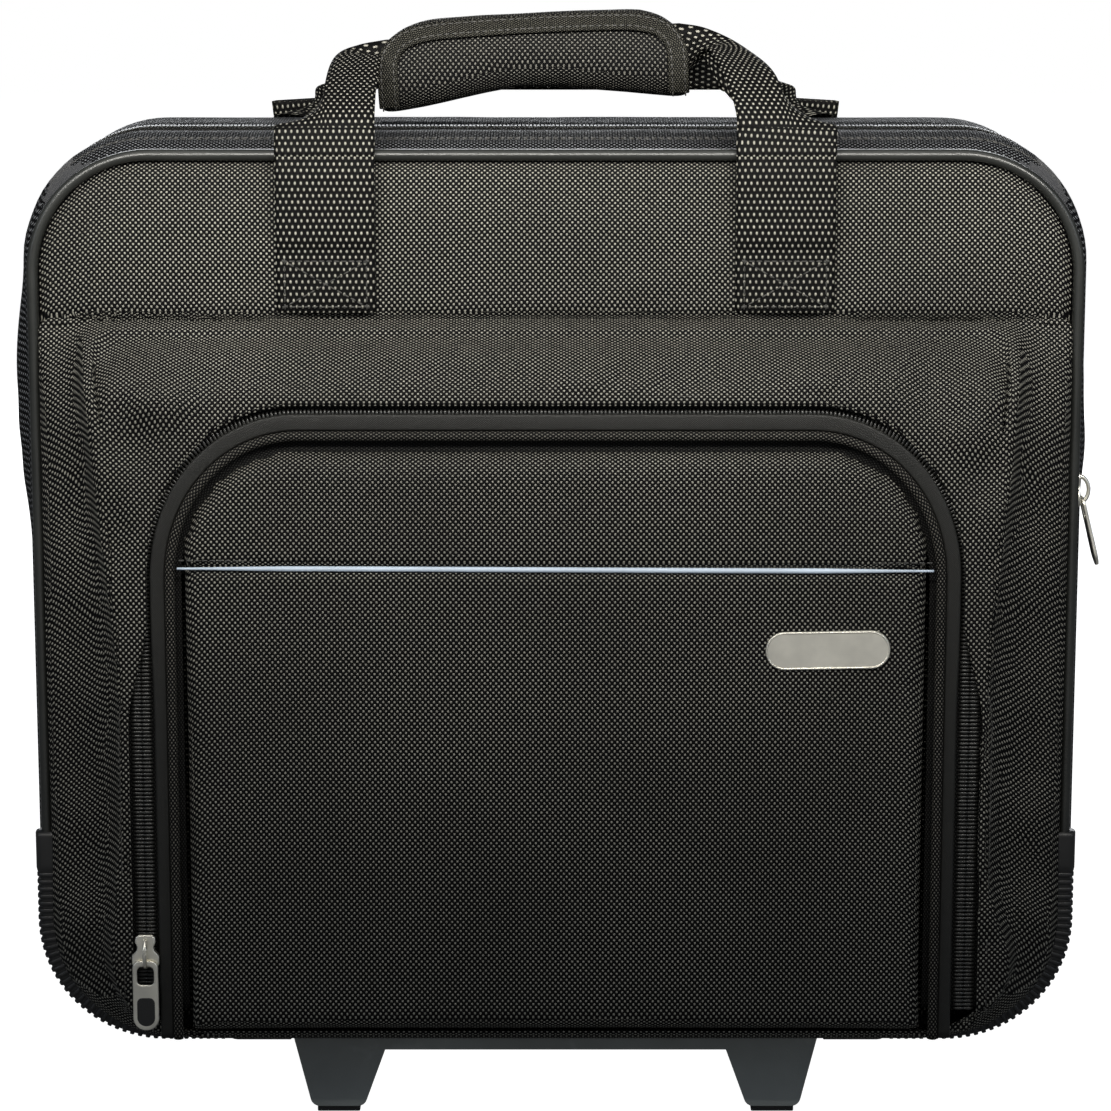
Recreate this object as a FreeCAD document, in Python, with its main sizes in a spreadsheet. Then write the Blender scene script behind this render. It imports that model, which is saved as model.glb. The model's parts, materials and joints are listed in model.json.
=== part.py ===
import FreeCAD, Part
import math
import os

import Sketcher

# A soft-sided rolling flight case: a fabric tub stiffened with boards, a front panel that unzips and
# leans forward, an arched zip pocket on that panel, two carry handles, a two-stage telescopic handle
# behind the back board, two wheels at the rear and a moulded stand with two feet at the front.
# Frame: +X to the right, +Y to the rear, +Z up; the floor is z = 0, below the middle of the case.

doc = FreeCAD.newDocument("flight_case")

# ---------------------------------------------------------------- driving dimensions, millimetres

DRIVING = {
    # the case as a whole
    "case_half_width": 213.5, "case_bottom": 38, "case_top": 408, "corner_radius": 50,
    "face_front": -66, "board_back": -60, "piping_front": -67.5, "piping_back": -60.5,
    "piping_thick": 3.8, "fit_gap": 0.3,
    # the tub
    "shell_half_width": 218, "shell_bottom": 39.5, "shell_top": 410, "shell_wall": 8,
    "shell_front": -46, "shell_back": 84, "cover_thick": 3, "rear_piping_deep": 4.5,
    "rear_piping_thick": 3.8, "inner_board_front": 62, "inner_board_thick": 3,
    "inner_board_bottom": 63, "divider_front": 8, "divider_thick": 6, "divider_top": 335,
    "divider_high_radius": 14, "board_gap": 0.4, "cover_inset": 6,
    # the main zip and the cloth hinge below it
    "zip_half_width": 211.5, "zip_strip": 4, "zip_gap_y": -53.1, "zip_gap": 0.4,
    "zip_low_end": 92, "zip_inset": 2, "hinge_strip_front": -59.3,
    # the laptop zip round the tub
    "laptop_zip_y": 14, "laptop_zip_wide": 12, "laptop_zip_thick": 1.2, "laptop_zip_low": 150,
    "tape_seat": 0.1,
    # rubber corner guards on the front piping
    "guard_thick": 2.5, "guard_inner": 121, "guard_top": 126, "guard_front": -69,
    # webbing and the two carry handles
    "webbing_wide": 40, "webbing_thick": 2, "front_strap_x": 92.5, "rear_strap_x": 104.5,
    "front_strap_y": -67.7, "rear_strap_y": 90.7, "strap_low": 343, "strap_sewn_top": 408.5,
    "strap_free_low": 412.2, "fold_high": 16, "fold_thick": 6,
    "grip_x": -9.6, "grip_y": -2, "grip_z": 441, "grip_long": 128, "grip_half_deep": 17,
    "grip_half_high": 18, "grip_tilt": 3, "rear_loop_y": 20.5, "rear_loop_z": 434,
    "rear_fold_x": 74, "strap_crossing": 1.5,
    # the front pocket
    "pocket_half_width": 191, "pocket_bottom": 43, "pocket_top": 337, "pocket_front": -92,
    "pocket_low_radius": 44, "pocket_high_radius": 6, "pocket_wall": 3.5,
    "cavity_high_radius": 3, "opening_low_radius": 30,
    "opening_half_width": 160, "opening_top": 296, "opening_radius": 58,
    "zip_arch_half": 173.5, "zip_arch_top": 306.5, "zip_arch_radius": 70,
    "split_half": 168, "split_top": 303, "split_radius": 65,
    "welt_half": 161, "welt_top": 298.5, "welt_radius": 58,
    "flap_half": 153, "flap_top": 293.5, "flap_radius": 50, "flap_bottom": 45,
    "zip_ribbon": 1.8, "welt_thick": 3.8, "flap_thick": 6.2, "accent_z": 243, "accent_size": 1.6,
    "badge_x": 110, "badge_z": 210, "badge_long": 50, "badge_high": 16, "badge_thick": 1.6,
    "organizer_thick": 2.5, "organizer_half": 150, "organizer_bottom": 60, "organizer_top": 250,
    "pouch_wide": 88, "pouch_pitch": 100, "pouch_deep": 4, "pouch_low": 64, "pouch_high": 150,
    "middle_pouch_high": 135, "pen_loop_wide": 12, "pen_loop_pitch": 22, "pen_loop_left": -140,
    "pen_loop_deep": 7, "pen_loop_low": 185, "pen_loop_high": 200,
    # zip sliders and their pull tabs
    "slider_wide": 10.2, "slider_high": 14, "slider_thick": 3.8, "bail_wide": 3, "bail_high": 12,
    "bail_deep": 4.2, "bail_wall": 1.6, "tab_wide": 10.4, "tab_long": 28, "tab_thick": 1.4,
    "tab_bar": 1.6, "tab_hole_long": 11, "tab_hole_wide": 7, "main_slider_z": 268,
    "pocket_slider_z": 83, "laptop_slider_z": 300, "main_tab_lean": 14,
    # moulded base, stand and feet
    "plate_half_width": 148, "plate_front": -33.5, "plate_rear": 60, "plate_bottom": 36,
    "plate_top": 39.3, "skid_drop": 3, "skid_wide": 8, "skid_x": 60, "skid_end": 6,
    "stand_half": 112, "stand_front": -59, "stand_deep": 25, "stand_top": 39.2,
    "stand_bar_bottom": 28, "foot_inner": 72, "foot_tip_inner": 81, "foot_tip_outer": 103,
    "pad_thick": 3, "pad_inner": 83, "pad_outer": 101, "pad_inset": 2, "foot_rounding": 4,
    # rear wheels
    "wheel_x": 168, "wheel_y": 72, "wheel_radius": 28, "wheel_wide": 22, "hub_radius": 20,
    "hub_wide": 18, "bearing_radius": 11, "bearing_wide": 7, "axle_radius": 4, "running_gap": 0.05,
    "press_gap": 0.02, "hub_hole_radius": 2.6, "hub_hole_circle": 15.5, "cover_rise": 9,
    "housing_radius": 33.5, "housing_wall": 3, "housing_half": 17, "cheek": 4,
    "cheek_bottom": 14, "cheek_half": 12, "axle_head_radius": 6.5, "axle_head": 1.8,
    # telescopic handle
    "tube_x": 56, "tube_y": 74, "outer_wide": 20, "outer_deep": 12, "outer_wall": 1.3,
    "middle_wide": 16.8, "middle_deep": 8.8, "middle_wall": 1.2, "inner_wide": 13.8,
    "inner_deep": 5.8, "inner_wall": 1, "outer_bottom": 52, "outer_top": 371.6,
    "middle_bottom": 70, "middle_top": 380, "inner_bottom": 76, "inner_top": 392,
    "bracket_end": 6, "bracket_rise": 12,
    "bezel_half": 84, "bezel_bottom": 372, "bezel_top": 409, "bezel_front": 65.7,
    "bezel_rear": 91, "cup_half": 78.5, "cup_floor": 378, "cup_front": 67.7, "cup_rear": 88.6,
    "grip_bar_half": 77, "grip_bar_front": 69, "grip_bar_rear": 87, "grip_bar_bottom": 382,
    "grip_bar_top": 404, "grip_bar_round": 6, "button_half": 13, "button_deep": 8,
    "button_top": 405, "button_high": 6.5, "button_gap": 0.4, "button_well": 14,
    "spring_radius": 2.6, "spring_wire": 0.5, "spring_pitch": 1.7,
    # rear kick plate and its fixings
    "kick_half": 149, "kick_bottom": 66, "kick_top": 116, "kick_thick": 2.6, "kick_corner": 8,
    "rib_thick": 1.6, "rib_wide": 6, "rib_end": 6, "screw_edge": 10, "screw_radius": 3.2,
    "screw_head": 1.6,
}

sheet = doc.addObject("Spreadsheet::Sheet", "Sizes")
for row, (alias, value) in enumerate(DRIVING.items(), start=1):
    sheet.set(f"A{row}", alias.replace("_", " "))
    sheet.set(f"B{row}", str(value))
    sheet.setAlias(f"B{row}", alias)
doc.recompute()


class Dim:
    """A length that knows both its number and the spreadsheet expression that drives it."""

    def __init__(self, number, text):
        self.number = number
        self.text = text

    def __add__(self, other):
        other = as_dim(other)
        return Dim(self.number + other.number, f"({self.text} + {other.text})")

    def __sub__(self, other):
        other = as_dim(other)
        return Dim(self.number - other.number, f"({self.text} - {other.text})")

    def __mul__(self, other):
        other = as_dim(other)
        return Dim(self.number * other.number, f"({self.text} * {other.text})")

    def __truediv__(self, other):
        other = as_dim(other)
        return Dim(self.number / other.number, f"({self.text} / {other.text})")

    def __neg__(self):
        return Dim(-self.number, f"(0 - {self.text})")

    def __radd__(self, other):
        return as_dim(other) + self

    def __rsub__(self, other):
        return as_dim(other) - self

    def __rmul__(self, other):
        return as_dim(other) * self


def as_dim(value):
    return value if isinstance(value, Dim) else Dim(float(value), repr(float(value)))


class Sizes:
    """Reads the spreadsheet: size.case_top is the cell called case_top, as a Dim."""

    def __getattr__(self, alias):
        return Dim(float(sheet.get(alias)), f"Sizes.{alias}")


size = Sizes()
pieces = {}


def bind(thing, prop, dim):
    thing.setExpression(prop, as_dim(dim).text)


def keep(thing, name):
    """Marks an object as a finished piece; its Label is the piece's name."""
    thing.Label = name
    pieces[name] = thing
    return thing


# ---------------------------------------------------------------- sketches and extrusions

PLANES = {"XZ": "XZ_Plane", "XY": "XY_Plane", "YZ": "YZ_Plane"}


def corner(across, up, radius=None, turn=(1, 1)):
    """A corner of an outline. turn gives the side of the corner that the outline bulges to."""
    return (as_dim(across), as_dim(up), None if radius is None else as_dim(radius), turn)


def round_box(left, right, bottom, top, low=None, high=None):
    """The four corners of an upright rectangle, counter-clockwise, with low and high corner radii."""
    return [corner(right, bottom, low, (1, -1)), corner(right, top, high, (1, 1)),
            corner(left, top, high, (-1, 1)), corner(left, bottom, low, (-1, -1))]


def even_box(half, bottom, top, low=None, high=None):
    half = as_dim(half)
    return round_box(-half, half, bottom, top, low, low if high is None else high)


FIRST_ANGLE = {(1, -1): -90, (1, 1): 0, (-1, 1): 90, (-1, -1): 180}


def draw(sketch, corners):
    """Draws one closed loop of lines and corner arcs, every point driven by the spreadsheet."""
    def pin(geometry, point, across, up):
        for kind, dim in (("DistanceX", across), ("DistanceY", up)):
            index = sketch.addConstraint(
                Sketcher.Constraint(kind, -1, 1, geometry, point, dim.number))
            sketch.setExpression(f"Constraints[{index}]", dim.text)

    arcs, ends = [], []
    for across, up, radius, turn in corners:
        if radius is None:
            arcs.append(None)
            ends.append((FreeCAD.Vector(across.number, up.number, 0),) * 2)
            continue
        centre_across = across - radius * turn[0]
        centre_up = up - radius * turn[1]
        centre = FreeCAD.Vector(centre_across.number, centre_up.number, 0)
        first = math.radians(FIRST_ANGLE[turn])
        circle = Part.Circle(centre, FreeCAD.Vector(0, 0, 1), radius.number)
        arc = sketch.addGeometry(Part.ArcOfCircle(circle, first, first + math.pi / 2))
        index = sketch.addConstraint(Sketcher.Constraint("Radius", arc, radius.number))
        sketch.setExpression(f"Constraints[{index}]", radius.text)
        pin(arc, 3, centre_across, centre_up)
        reach = [centre + FreeCAD.Vector(math.cos(a), math.sin(a), 0) * radius.number
                 for a in (first, first + math.pi / 2)]
        arcs.append(arc)
        ends.append(tuple(reach))
    count = len(corners)
    lines = [sketch.addGeometry(Part.LineSegment(ends[i][1], ends[(i + 1) % count][0]))
             for i in range(count)]
    for i, (across, up, radius, turn) in enumerate(corners):
        before, after = lines[i - 1], lines[i]
        if arcs[i] is None:
            sketch.addConstraint(Sketcher.Constraint("Coincident", before, 2, after, 1))
            pin(after, 1, across, up)
        else:
            sketch.addConstraint(Sketcher.Constraint("Tangent", before, 2, arcs[i], 1))
            sketch.addConstraint(Sketcher.Constraint("Tangent", arcs[i], 2, after, 1))


def extrude(name, plane, loops, start, length):
    """A body padded from a sketch. On XZ it runs from start towards -Y, on YZ towards +X, on XY up."""
    body = doc.addObject("PartDesign::Body", name)
    sketch = body.newObject("Sketcher::SketchObject", f"{name}_sketch")
    support = next(f for f in body.Origin.OriginFeatures if f.Role == PLANES[plane])
    sketch.AttachmentSupport = [(support, "")]
    sketch.MapMode = "FlatFace"
    for loop in loops:
        draw(sketch, loop)
    pad = body.newObject("PartDesign::Pad", f"{name}_pad")
    pad.Profile = sketch
    bind(pad, "Length", length)
    bind(body, "Placement.Base." + {"XZ": "y", "YZ": "x", "XY": "z"}[plane], start)
    return body


def rounded(body, pick, radius):
    """Adds a fillet to the edges of a body's last feature that pick(edge) chooses."""
    doc.recompute()
    tip = body.Tip
    edges = [f"Edge{i}" for i, e in enumerate(tip.Shape.Edges, start=1) if pick(e)]
    fillet = body.newObject("PartDesign::Fillet", f"{body.Name}_fillet")
    fillet.Base = (tip, edges)
    bind(fillet, "Radius", radius)
    return body


def along(edge, axis):
    """True for a straight edge that runs along the given axis, 0 to 2."""
    if not isinstance(edge.Curve, Part.Line):
        return False
    return abs(edge.Curve.Direction[axis]) > 0.999


# ---------------------------------------------------------------- primitives and booleans


def block(name, x, y, z):
    """A box from three (low, high) pairs."""
    box = doc.addObject("Part::Box", name)
    for side, base, (low, high) in zip(("Length", "Width", "Height"), "xyz", (x, y, z)):
        bind(box, side, as_dim(high) - low)
        bind(box, f"Placement.Base.{base}", low)
    return box


TURNS = {"x": FreeCAD.Rotation(FreeCAD.Vector(0, 1, 0), 90),
         "y": FreeCAD.Rotation(FreeCAD.Vector(1, 0, 0), -90), "z": FreeCAD.Rotation()}


def rod(name, radius, axis, low, high, centre):
    """A cylinder along one axis from low to high; centre gives its other two coordinates."""
    cylinder = doc.addObject("Part::Cylinder", name)
    bind(cylinder, "Radius", radius)
    bind(cylinder, "Height", as_dim(high) - low)
    cylinder.Placement = FreeCAD.Placement(FreeCAD.Vector(), TURNS[axis])
    others = [a for a in "xyz" if a != axis]
    for base, dim in [(axis, low), (others[0], centre[0]), (others[1], centre[1])]:
        bind(cylinder, f"Placement.Base.{base}", dim)
    return cylinder


def fuse(name, *parts):
    joined = doc.addObject("Part::MultiFuse", name)
    joined.Shapes = list(parts)
    return joined


def cut(name, base, *tools):
    for number, tool in enumerate(tools):
        trimmed = doc.addObject("Part::Cut", f"{name}_cut{number}")
        trimmed.Base = base
        trimmed.Tool = tool
        base = trimmed
    return base


def common(name, *parts):
    shared = doc.addObject("Part::MultiCommon", name)
    shared.Shapes = list(parts)
    return shared


def shape_of(name, shape):
    """A piece whose surface no sketch or primitive gives, made with Part's own functions."""
    feature = doc.addObject("Part::Feature", name)
    feature.Shape = shape
    return feature


WIDE = (-300, 300)      # wider and deeper than the case, for cutting tools


def side_name(name, side):
    return f"{name}_{'left' if side < 0 else 'right'}"


# ---------------------------------------------------------------- the tub


def wheel_well(name, side):
    """The box that the tub, back cover and rear piping leave free for one wheel housing."""
    inner = (size.wheel_x - size.housing_half) * side - size.fit_gap * side
    outer = (size.wheel_x + size.housing_half) * side + size.fit_gap * side
    x = (inner, outer) if side > 0 else (outer, inner)
    return block(name, x, (size.wheel_y - size.housing_radius - size.fit_gap, 130),
                 (-10, size.wheel_radius + size.housing_radius + size.fit_gap))


def handle_notch(name):
    """The box that the tub, back cover and rear piping leave free for the handle's bezel."""
    half = size.bezel_half + size.fit_gap
    return block(name, (-half, half), (size.bezel_front - size.fit_gap, 130),
                 (size.bezel_bottom - size.fit_gap, 500))


def openings_cut(name, base):
    return cut(name, base, wheel_well(f"{name}_well_l", -1), wheel_well(f"{name}_well_r", 1),
               handle_notch(f"{name}_notch"))


def tub():
    wall = size.shell_wall
    inner_radius = size.corner_radius - wall
    ring = extrude("case_shell_ring", "XZ", [
        even_box(size.shell_half_width, size.shell_bottom, size.shell_top, size.corner_radius),
        even_box(size.shell_half_width - wall, size.shell_bottom + wall, size.shell_top - wall,
                 inner_radius)], size.shell_back, size.shell_back - size.shell_front)
    keep(openings_cut("case_shell", ring), "case_shell")

    inset = size.cover_inset
    cover_half = size.shell_half_width - inset
    cover_radius = size.corner_radius - inset
    cover = extrude("back_cover_plate", "XZ", [
        even_box(cover_half, size.shell_bottom + inset, size.shell_top - inset, cover_radius)],
        size.shell_back + size.cover_thick, size.cover_thick)
    keep(openings_cut("back_cover", cover), "back_cover")

    thick = size.rear_piping_thick
    seat = inset - size.fit_gap
    rear_ring = extrude("rear_piping_ring", "XZ", [
        even_box(cover_half + size.fit_gap + thick, size.shell_bottom + seat - thick,
                 size.shell_top - seat + thick, cover_radius + size.fit_gap + thick),
        even_box(cover_half + size.fit_gap, size.shell_bottom + seat, size.shell_top - seat,
                 cover_radius + size.fit_gap)],
        size.shell_back + size.rear_piping_deep, size.rear_piping_deep)
    keep(openings_cut("rear_piping", rear_ring), "rear_piping")

    board_half = size.shell_half_width - wall - size.board_gap
    keep(extrude("back_board", "XZ", [
        even_box(board_half, size.inner_board_bottom, size.shell_top - wall - size.board_gap,
                 inner_radius)],
        size.inner_board_front + size.inner_board_thick, size.inner_board_thick), "back_board")
    keep(extrude("divider_panel", "XZ", [
        even_box(board_half, size.shell_bottom + wall + size.board_gap, size.divider_top,
                 inner_radius, size.divider_high_radius)],
        size.divider_front + size.divider_thick, size.divider_thick), "divider_panel")

    seat = size.tape_seat
    thick = size.laptop_zip_thick
    tape = extrude("laptop_zip_ring", "XZ", [
        even_box(size.shell_half_width + seat + thick, size.shell_bottom - seat - thick,
                 size.shell_top + seat + thick, size.corner_radius + seat + thick),
        even_box(size.shell_half_width + seat, size.shell_bottom - seat, size.shell_top + seat,
                 size.corner_radius + seat)],
        size.laptop_zip_y + size.laptop_zip_wide / 2, size.laptop_zip_wide)
    keep(common("laptop_zip_arch", tape, block("laptop_zip_reach", WIDE, WIDE,
                                               (size.laptop_zip_low, 500))), "laptop_zip")


# ---------------------------------------------------------------- the front panel and its edge


def zip_ring(name, back, deep):
    """A ring of zip tape between the front panel and the tub; both halves are alike."""
    half, strip, inset = size.zip_half_width, size.zip_strip, size.zip_inset
    within = inset + strip
    return extrude(name, "XZ", [
        even_box(half, size.case_bottom + inset, size.case_top - inset,
                 size.corner_radius - inset),
        even_box(half - strip, size.case_bottom + within, size.case_top - within,
                 size.corner_radius - within)], back, deep)


def front_edge():
    thick = size.piping_thick
    keep(extrude("front_board", "XZ", [
        even_box(size.case_half_width - thick - size.fit_gap,
                 size.case_bottom + thick + size.fit_gap, size.case_top - thick - size.fit_gap,
                 size.corner_radius - thick - size.fit_gap)],
        size.board_back, size.board_back - size.face_front), "front_board")
    piping = extrude("front_piping", "XZ", [
        even_box(size.case_half_width, size.case_bottom, size.case_top, size.corner_radius),
        even_box(size.case_half_width - thick, size.case_bottom + thick, size.case_top - thick,
                 size.corner_radius - thick)],
        size.piping_back, size.piping_back - size.piping_front)
    keep(piping, "front_piping")

    above = (size.zip_low_end, 500)
    panel_ring = zip_ring("panel_zip_ring", size.zip_gap_y - size.zip_gap / 2,
                          size.zip_gap_y - size.zip_gap / 2 - size.board_back)
    keep(common("panel_zip_arch", panel_ring, block("panel_zip_reach", WIDE, WIDE, above)),
         "panel_zip")
    shell_ring = zip_ring("shell_zip_ring", size.shell_front,
                          size.shell_front - size.zip_gap_y - size.zip_gap / 2)
    keep(common("shell_zip_arch", shell_ring, block("shell_zip_reach", WIDE, WIDE, above)),
         "shell_zip")
    strip_ring = zip_ring("hinge_strip_ring", size.shell_front,
                          size.shell_front - size.hinge_strip_front)
    keep(common("hinge_strip_low", strip_ring, block("hinge_strip_reach", WIDE, WIDE,
                                                     (0, size.zip_low_end - size.board_gap))),
         "hinge_strip")

    grow = size.guard_thick + size.fit_gap
    for side in (-1, 1):
        name = side_name("corner_guard", side)
        ring = extrude(f"{name}_ring", "XZ", [
            even_box(size.case_half_width + grow, size.case_bottom - grow,
                     size.case_top + grow, size.corner_radius + grow),
            even_box(size.case_half_width + size.fit_gap, size.case_bottom - size.fit_gap,
                     size.case_top + size.fit_gap, size.corner_radius + size.fit_gap)],
            size.piping_back, size.piping_back - size.guard_front)
        x = (size.guard_inner, 300) if side > 0 else (-300, -size.guard_inner)
        keep(common(f"{name}_corner", ring, block(f"{name}_reach", x, WIDE,
                                                  (0, size.guard_top))), name)


# ---------------------------------------------------------------- the pocket on the front panel


def arch(half, top, radius):
    """A pocket outline: straight sides and bottom, large round upper corners."""
    return even_box(half, size.flap_bottom, top, None, radius)


def arch_ring(name, outer, inner, front_thick):
    """An arch-shaped ribbon that is open at the bottom, lying on the pocket's front face."""
    back = size.pocket_front - size.fit_gap
    half, top, radius = outer
    inner_half, inner_top, inner_radius = inner
    solid = extrude(f"{name}_outer", "XZ", [arch(half, top, radius)], back, front_thick)
    hole = extrude(f"{name}_inner", "XZ", [
        even_box(inner_half, size.flap_bottom - 5, inner_top, None, inner_radius)],
        back + 1, front_thick + 2)
    return keep(cut(name, solid, hole), name)


def pocket():
    wall = size.pocket_wall
    outer = extrude("pocket_outer", "XZ", [
        even_box(size.pocket_half_width, size.pocket_bottom, size.pocket_top,
                 size.pocket_low_radius, size.pocket_high_radius)],
        size.face_front - size.fit_gap,
        size.face_front - size.fit_gap - size.pocket_front)
    cavity = extrude("pocket_cavity", "XZ", [
        even_box(size.pocket_half_width - wall, size.pocket_bottom + wall,
                 size.pocket_top - wall, size.pocket_low_radius - wall,
                 size.cavity_high_radius)],
        size.face_front + 5, size.face_front + 5 - size.pocket_front - wall)
    mouth = extrude("pocket_mouth", "XZ", [
        even_box(size.opening_half_width, size.pocket_bottom + wall, size.opening_top,
                 size.opening_low_radius, size.opening_radius)],
        size.pocket_front + 10, 20)
    keep(cut("pocket_frame", outer, cavity, mouth), "pocket_frame")

    gap = size.fit_gap
    edge = (size.zip_arch_half, size.zip_arch_top, size.zip_arch_radius)
    split = (size.split_half, size.split_top, size.split_radius)
    split_in = (size.split_half - gap * 2, size.split_top - gap * 2, size.split_radius - gap * 2)
    welt = (size.welt_half, size.welt_top, size.welt_radius)
    welt_in = (size.welt_half - gap, size.welt_top - gap, size.welt_radius - gap)
    flap = (size.flap_half, size.flap_top, size.flap_radius)
    flap_in = (size.flap_half - gap, size.flap_top - gap, size.flap_radius - gap)
    arch_ring("pocket_zip", edge, split, size.zip_ribbon)
    arch_ring("flap_zip", split_in, welt, size.zip_ribbon)
    arch_ring("flap_welt", welt_in, flap, size.welt_thick)

    back = size.pocket_front - gap
    panel = extrude("flap_panel_plate", "XZ", [arch(*flap_in)], back, size.flap_thick)
    groove = block("flap_groove", WIDE, (-150, back - size.flap_thick + size.accent_size / 2),
                   (size.accent_z - size.accent_size / 2, size.accent_z + size.accent_size / 2))
    keep(cut("flap_panel", panel, groove), "flap_panel")
    front = back - size.flap_thick
    keep(rod("accent_piping", size.accent_size / 2, "x", -size.flap_half + 1.4,
             size.flap_half - 1.4, (front - size.accent_size / 2, size.accent_z)),
         "accent_piping")
    badge = extrude("nameplate", "XZ", [
        round_box(size.badge_x - size.badge_long / 2, size.badge_x + size.badge_long / 2,
                  size.badge_z - size.badge_high / 2, size.badge_z + size.badge_high / 2,
                  size.badge_high / 2 - 0.05, size.badge_high / 2 - 0.05)],
        front, size.badge_thick)
    keep(badge, "nameplate")

    shelf = size.face_front - gap
    back_sheet = block("organizer_sheet", (-size.organizer_half, size.organizer_half),
                       (shelf - size.organizer_thick, shelf),
                       (size.organizer_bottom, size.organizer_top))
    face = shelf - size.organizer_thick
    half = size.pouch_wide / 2
    pouches = [block(f"organizer_pouch_{i}", (middle - half, middle + half),
                     (face - size.pouch_deep, face), (size.pouch_low, high))
               for i, (middle, high) in enumerate([(-size.pouch_pitch, size.pouch_high),
                                                   (as_dim(0), size.middle_pouch_high),
                                                   (size.pouch_pitch, size.pouch_high)])]
    starts = [size.pen_loop_left + size.pen_loop_pitch * i for i in range(3)]
    loops = [block(f"pen_loop_{i}", (left, left + size.pen_loop_wide),
                   (face - size.pen_loop_deep, face), (size.pen_loop_low, size.pen_loop_high))
             for i, left in enumerate(starts)]
    keep(fuse("organizer_panel", back_sheet, *pouches, *loops), "organizer_panel")


# ---------------------------------------------------------------- zip sliders and pull tabs


def slider(name, place):
    """A slider body with its bail. In its own frame the zip's face is y = 0 and out is -Y."""
    half = size.slider_wide / 2
    nose = size.slider_high / 2
    body = extrude(f"{name}_body", "XZ", [[
        corner(-half * 0.8, nose), corner(-half, nose * 0.1), corner(-half * 0.6, -nose),
        corner(half * 0.6, -nose), corner(half, nose * 0.1), corner(half * 0.8, nose)]],
        0, size.slider_thick)
    front = -size.slider_thick
    bail_half = size.bail_wide / 2
    hoop = block(f"{name}_hoop", (-bail_half, bail_half), (front - size.bail_deep, front),
                 (-nose, size.bail_high - nose))
    eye = block(f"{name}_eye", (-5, 5), (front - size.bail_deep + size.bail_wall, front),
                (size.bail_wall - nose, size.bail_high - nose - size.bail_wall))
    whole = fuse(name, body, cut(f"{name}_bail", hoop, eye))
    whole.Placement = place
    return keep(whole, name)


def pull_tab(name, place, lean):
    """A flat pull tab hung in the bail; its top bar's middle is the hinge at the frame's origin."""
    half = size.tab_wide / 2
    bar = size.tab_bar / 2
    thick = size.tab_thick
    plate = extrude(f"{name}_plate", "XZ", [
        round_box(-half, half, bar - size.tab_long, bar, half - 0.1, half - 1.6)],
        thick / 2, thick)
    hole_half = size.tab_hole_wide / 2
    hole = block(f"{name}_hole", (-hole_half, hole_half), (-5, 5),
                 (-bar - size.tab_hole_long, -bar))
    whole = cut(name, plate, hole)
    whole.Placement = place * FreeCAD.Placement(
        FreeCAD.Vector(), FreeCAD.Rotation(FreeCAD.Vector(1, 0, 0), -lean))
    return keep(whole, name)


def slider_set(name, x, y, z, turn, lean=0.0):
    """A slider and its tab, turned about Z so that their front faces out of the zip's face."""
    rotation = FreeCAD.Rotation(FreeCAD.Vector(0, 0, 1), turn)
    place = FreeCAD.Placement(FreeCAD.Vector(x.number, y.number, z.number), rotation)
    slider(f"{name}_slider", place)
    nose = size.slider_high.number / 2
    eye_out = size.slider_thick.number + (size.bail_deep.number - size.bail_wall.number) / 2
    eye_up = size.bail_wall.number - nose + size.tab_bar.number / 2 + 0.3
    hinge = place * FreeCAD.Placement(FreeCAD.Vector(0, -eye_out, eye_up), FreeCAD.Rotation())
    pull_tab(f"{name}_pull", hinge, lean)


def sliders():
    above_tape = size.pocket_front - size.fit_gap - size.zip_ribbon - 0.3
    slider_set("pocket", -size.split_half, above_tape, size.pocket_slider_z, 0)
    slider_set("main", size.zip_half_width + 0.3, size.zip_gap_y, size.main_slider_z, 90,
               size.main_tab_lean.number)
    laptop_face = size.shell_half_width + size.laptop_zip_thick + 0.4
    slider_set("laptop", -laptop_face, size.laptop_zip_y, size.laptop_slider_z, -90)


# ---------------------------------------------------------------- webbing and carry handles


def sewn_strap(name, side, middle, over_piping, under_piping):
    """Webbing sewn flat to a panel, with a lining below the piping that it crosses at the top.

    over_piping and under_piping are the strap's (low, high) y above and below that crossing.
    """
    half = size.webbing_wide / 2
    x = (middle * side - half, middle * side + half)
    crossing = size.case_top - size.piping_thick - size.strap_crossing
    over = block(f"{name}_over", x, over_piping, (size.strap_low, size.strap_sewn_top))
    under = block(f"{name}_under", x, under_piping, (size.strap_low, crossing))
    return keep(fuse(name, over, under), name)


def rectangle(points):
    return Part.makePolygon([FreeCAD.Vector(*p) for p in points + points[:1]])


def handle_loop(strap_x, strap_y, fold_left, fold_right, fold_y, fold_z, tilt):
    """One handle of webbing: two flat ends that rise, fold double and run on as one band."""
    half = size.webbing_wide.number / 2
    thick = size.webbing_thick.number
    low = size.strap_free_low.number
    high, deep = size.fold_high.number / 2, size.fold_thick.number / 2
    legs = []
    for side, fold_x in ((-1, fold_left), (1, fold_right)):
        rise = fold_z + math.tan(math.radians(tilt)) * (fold_x - (fold_left + fold_right) / 2)
        inner, outer = side * (strap_x - half), side * (strap_x + half)
        base = rectangle([(inner, strap_y - thick, low), (inner, strap_y, low),
                          (outer, strap_y, low), (outer, strap_y - thick, low)])
        fold = rectangle([(fold_x, fold_y - deep, rise - high), (fold_x, fold_y + deep, rise - high),
                          (fold_x, fold_y + deep, rise + high), (fold_x, fold_y - deep, rise + high)])
        legs.append((Part.makeLoft([base, fold], True, True), fold))
    band = Part.makeLoft([legs[0][1], legs[1][1]], True, True)
    return legs[0][0].fuse([band, legs[1][0]]).removeSplitter()


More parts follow.
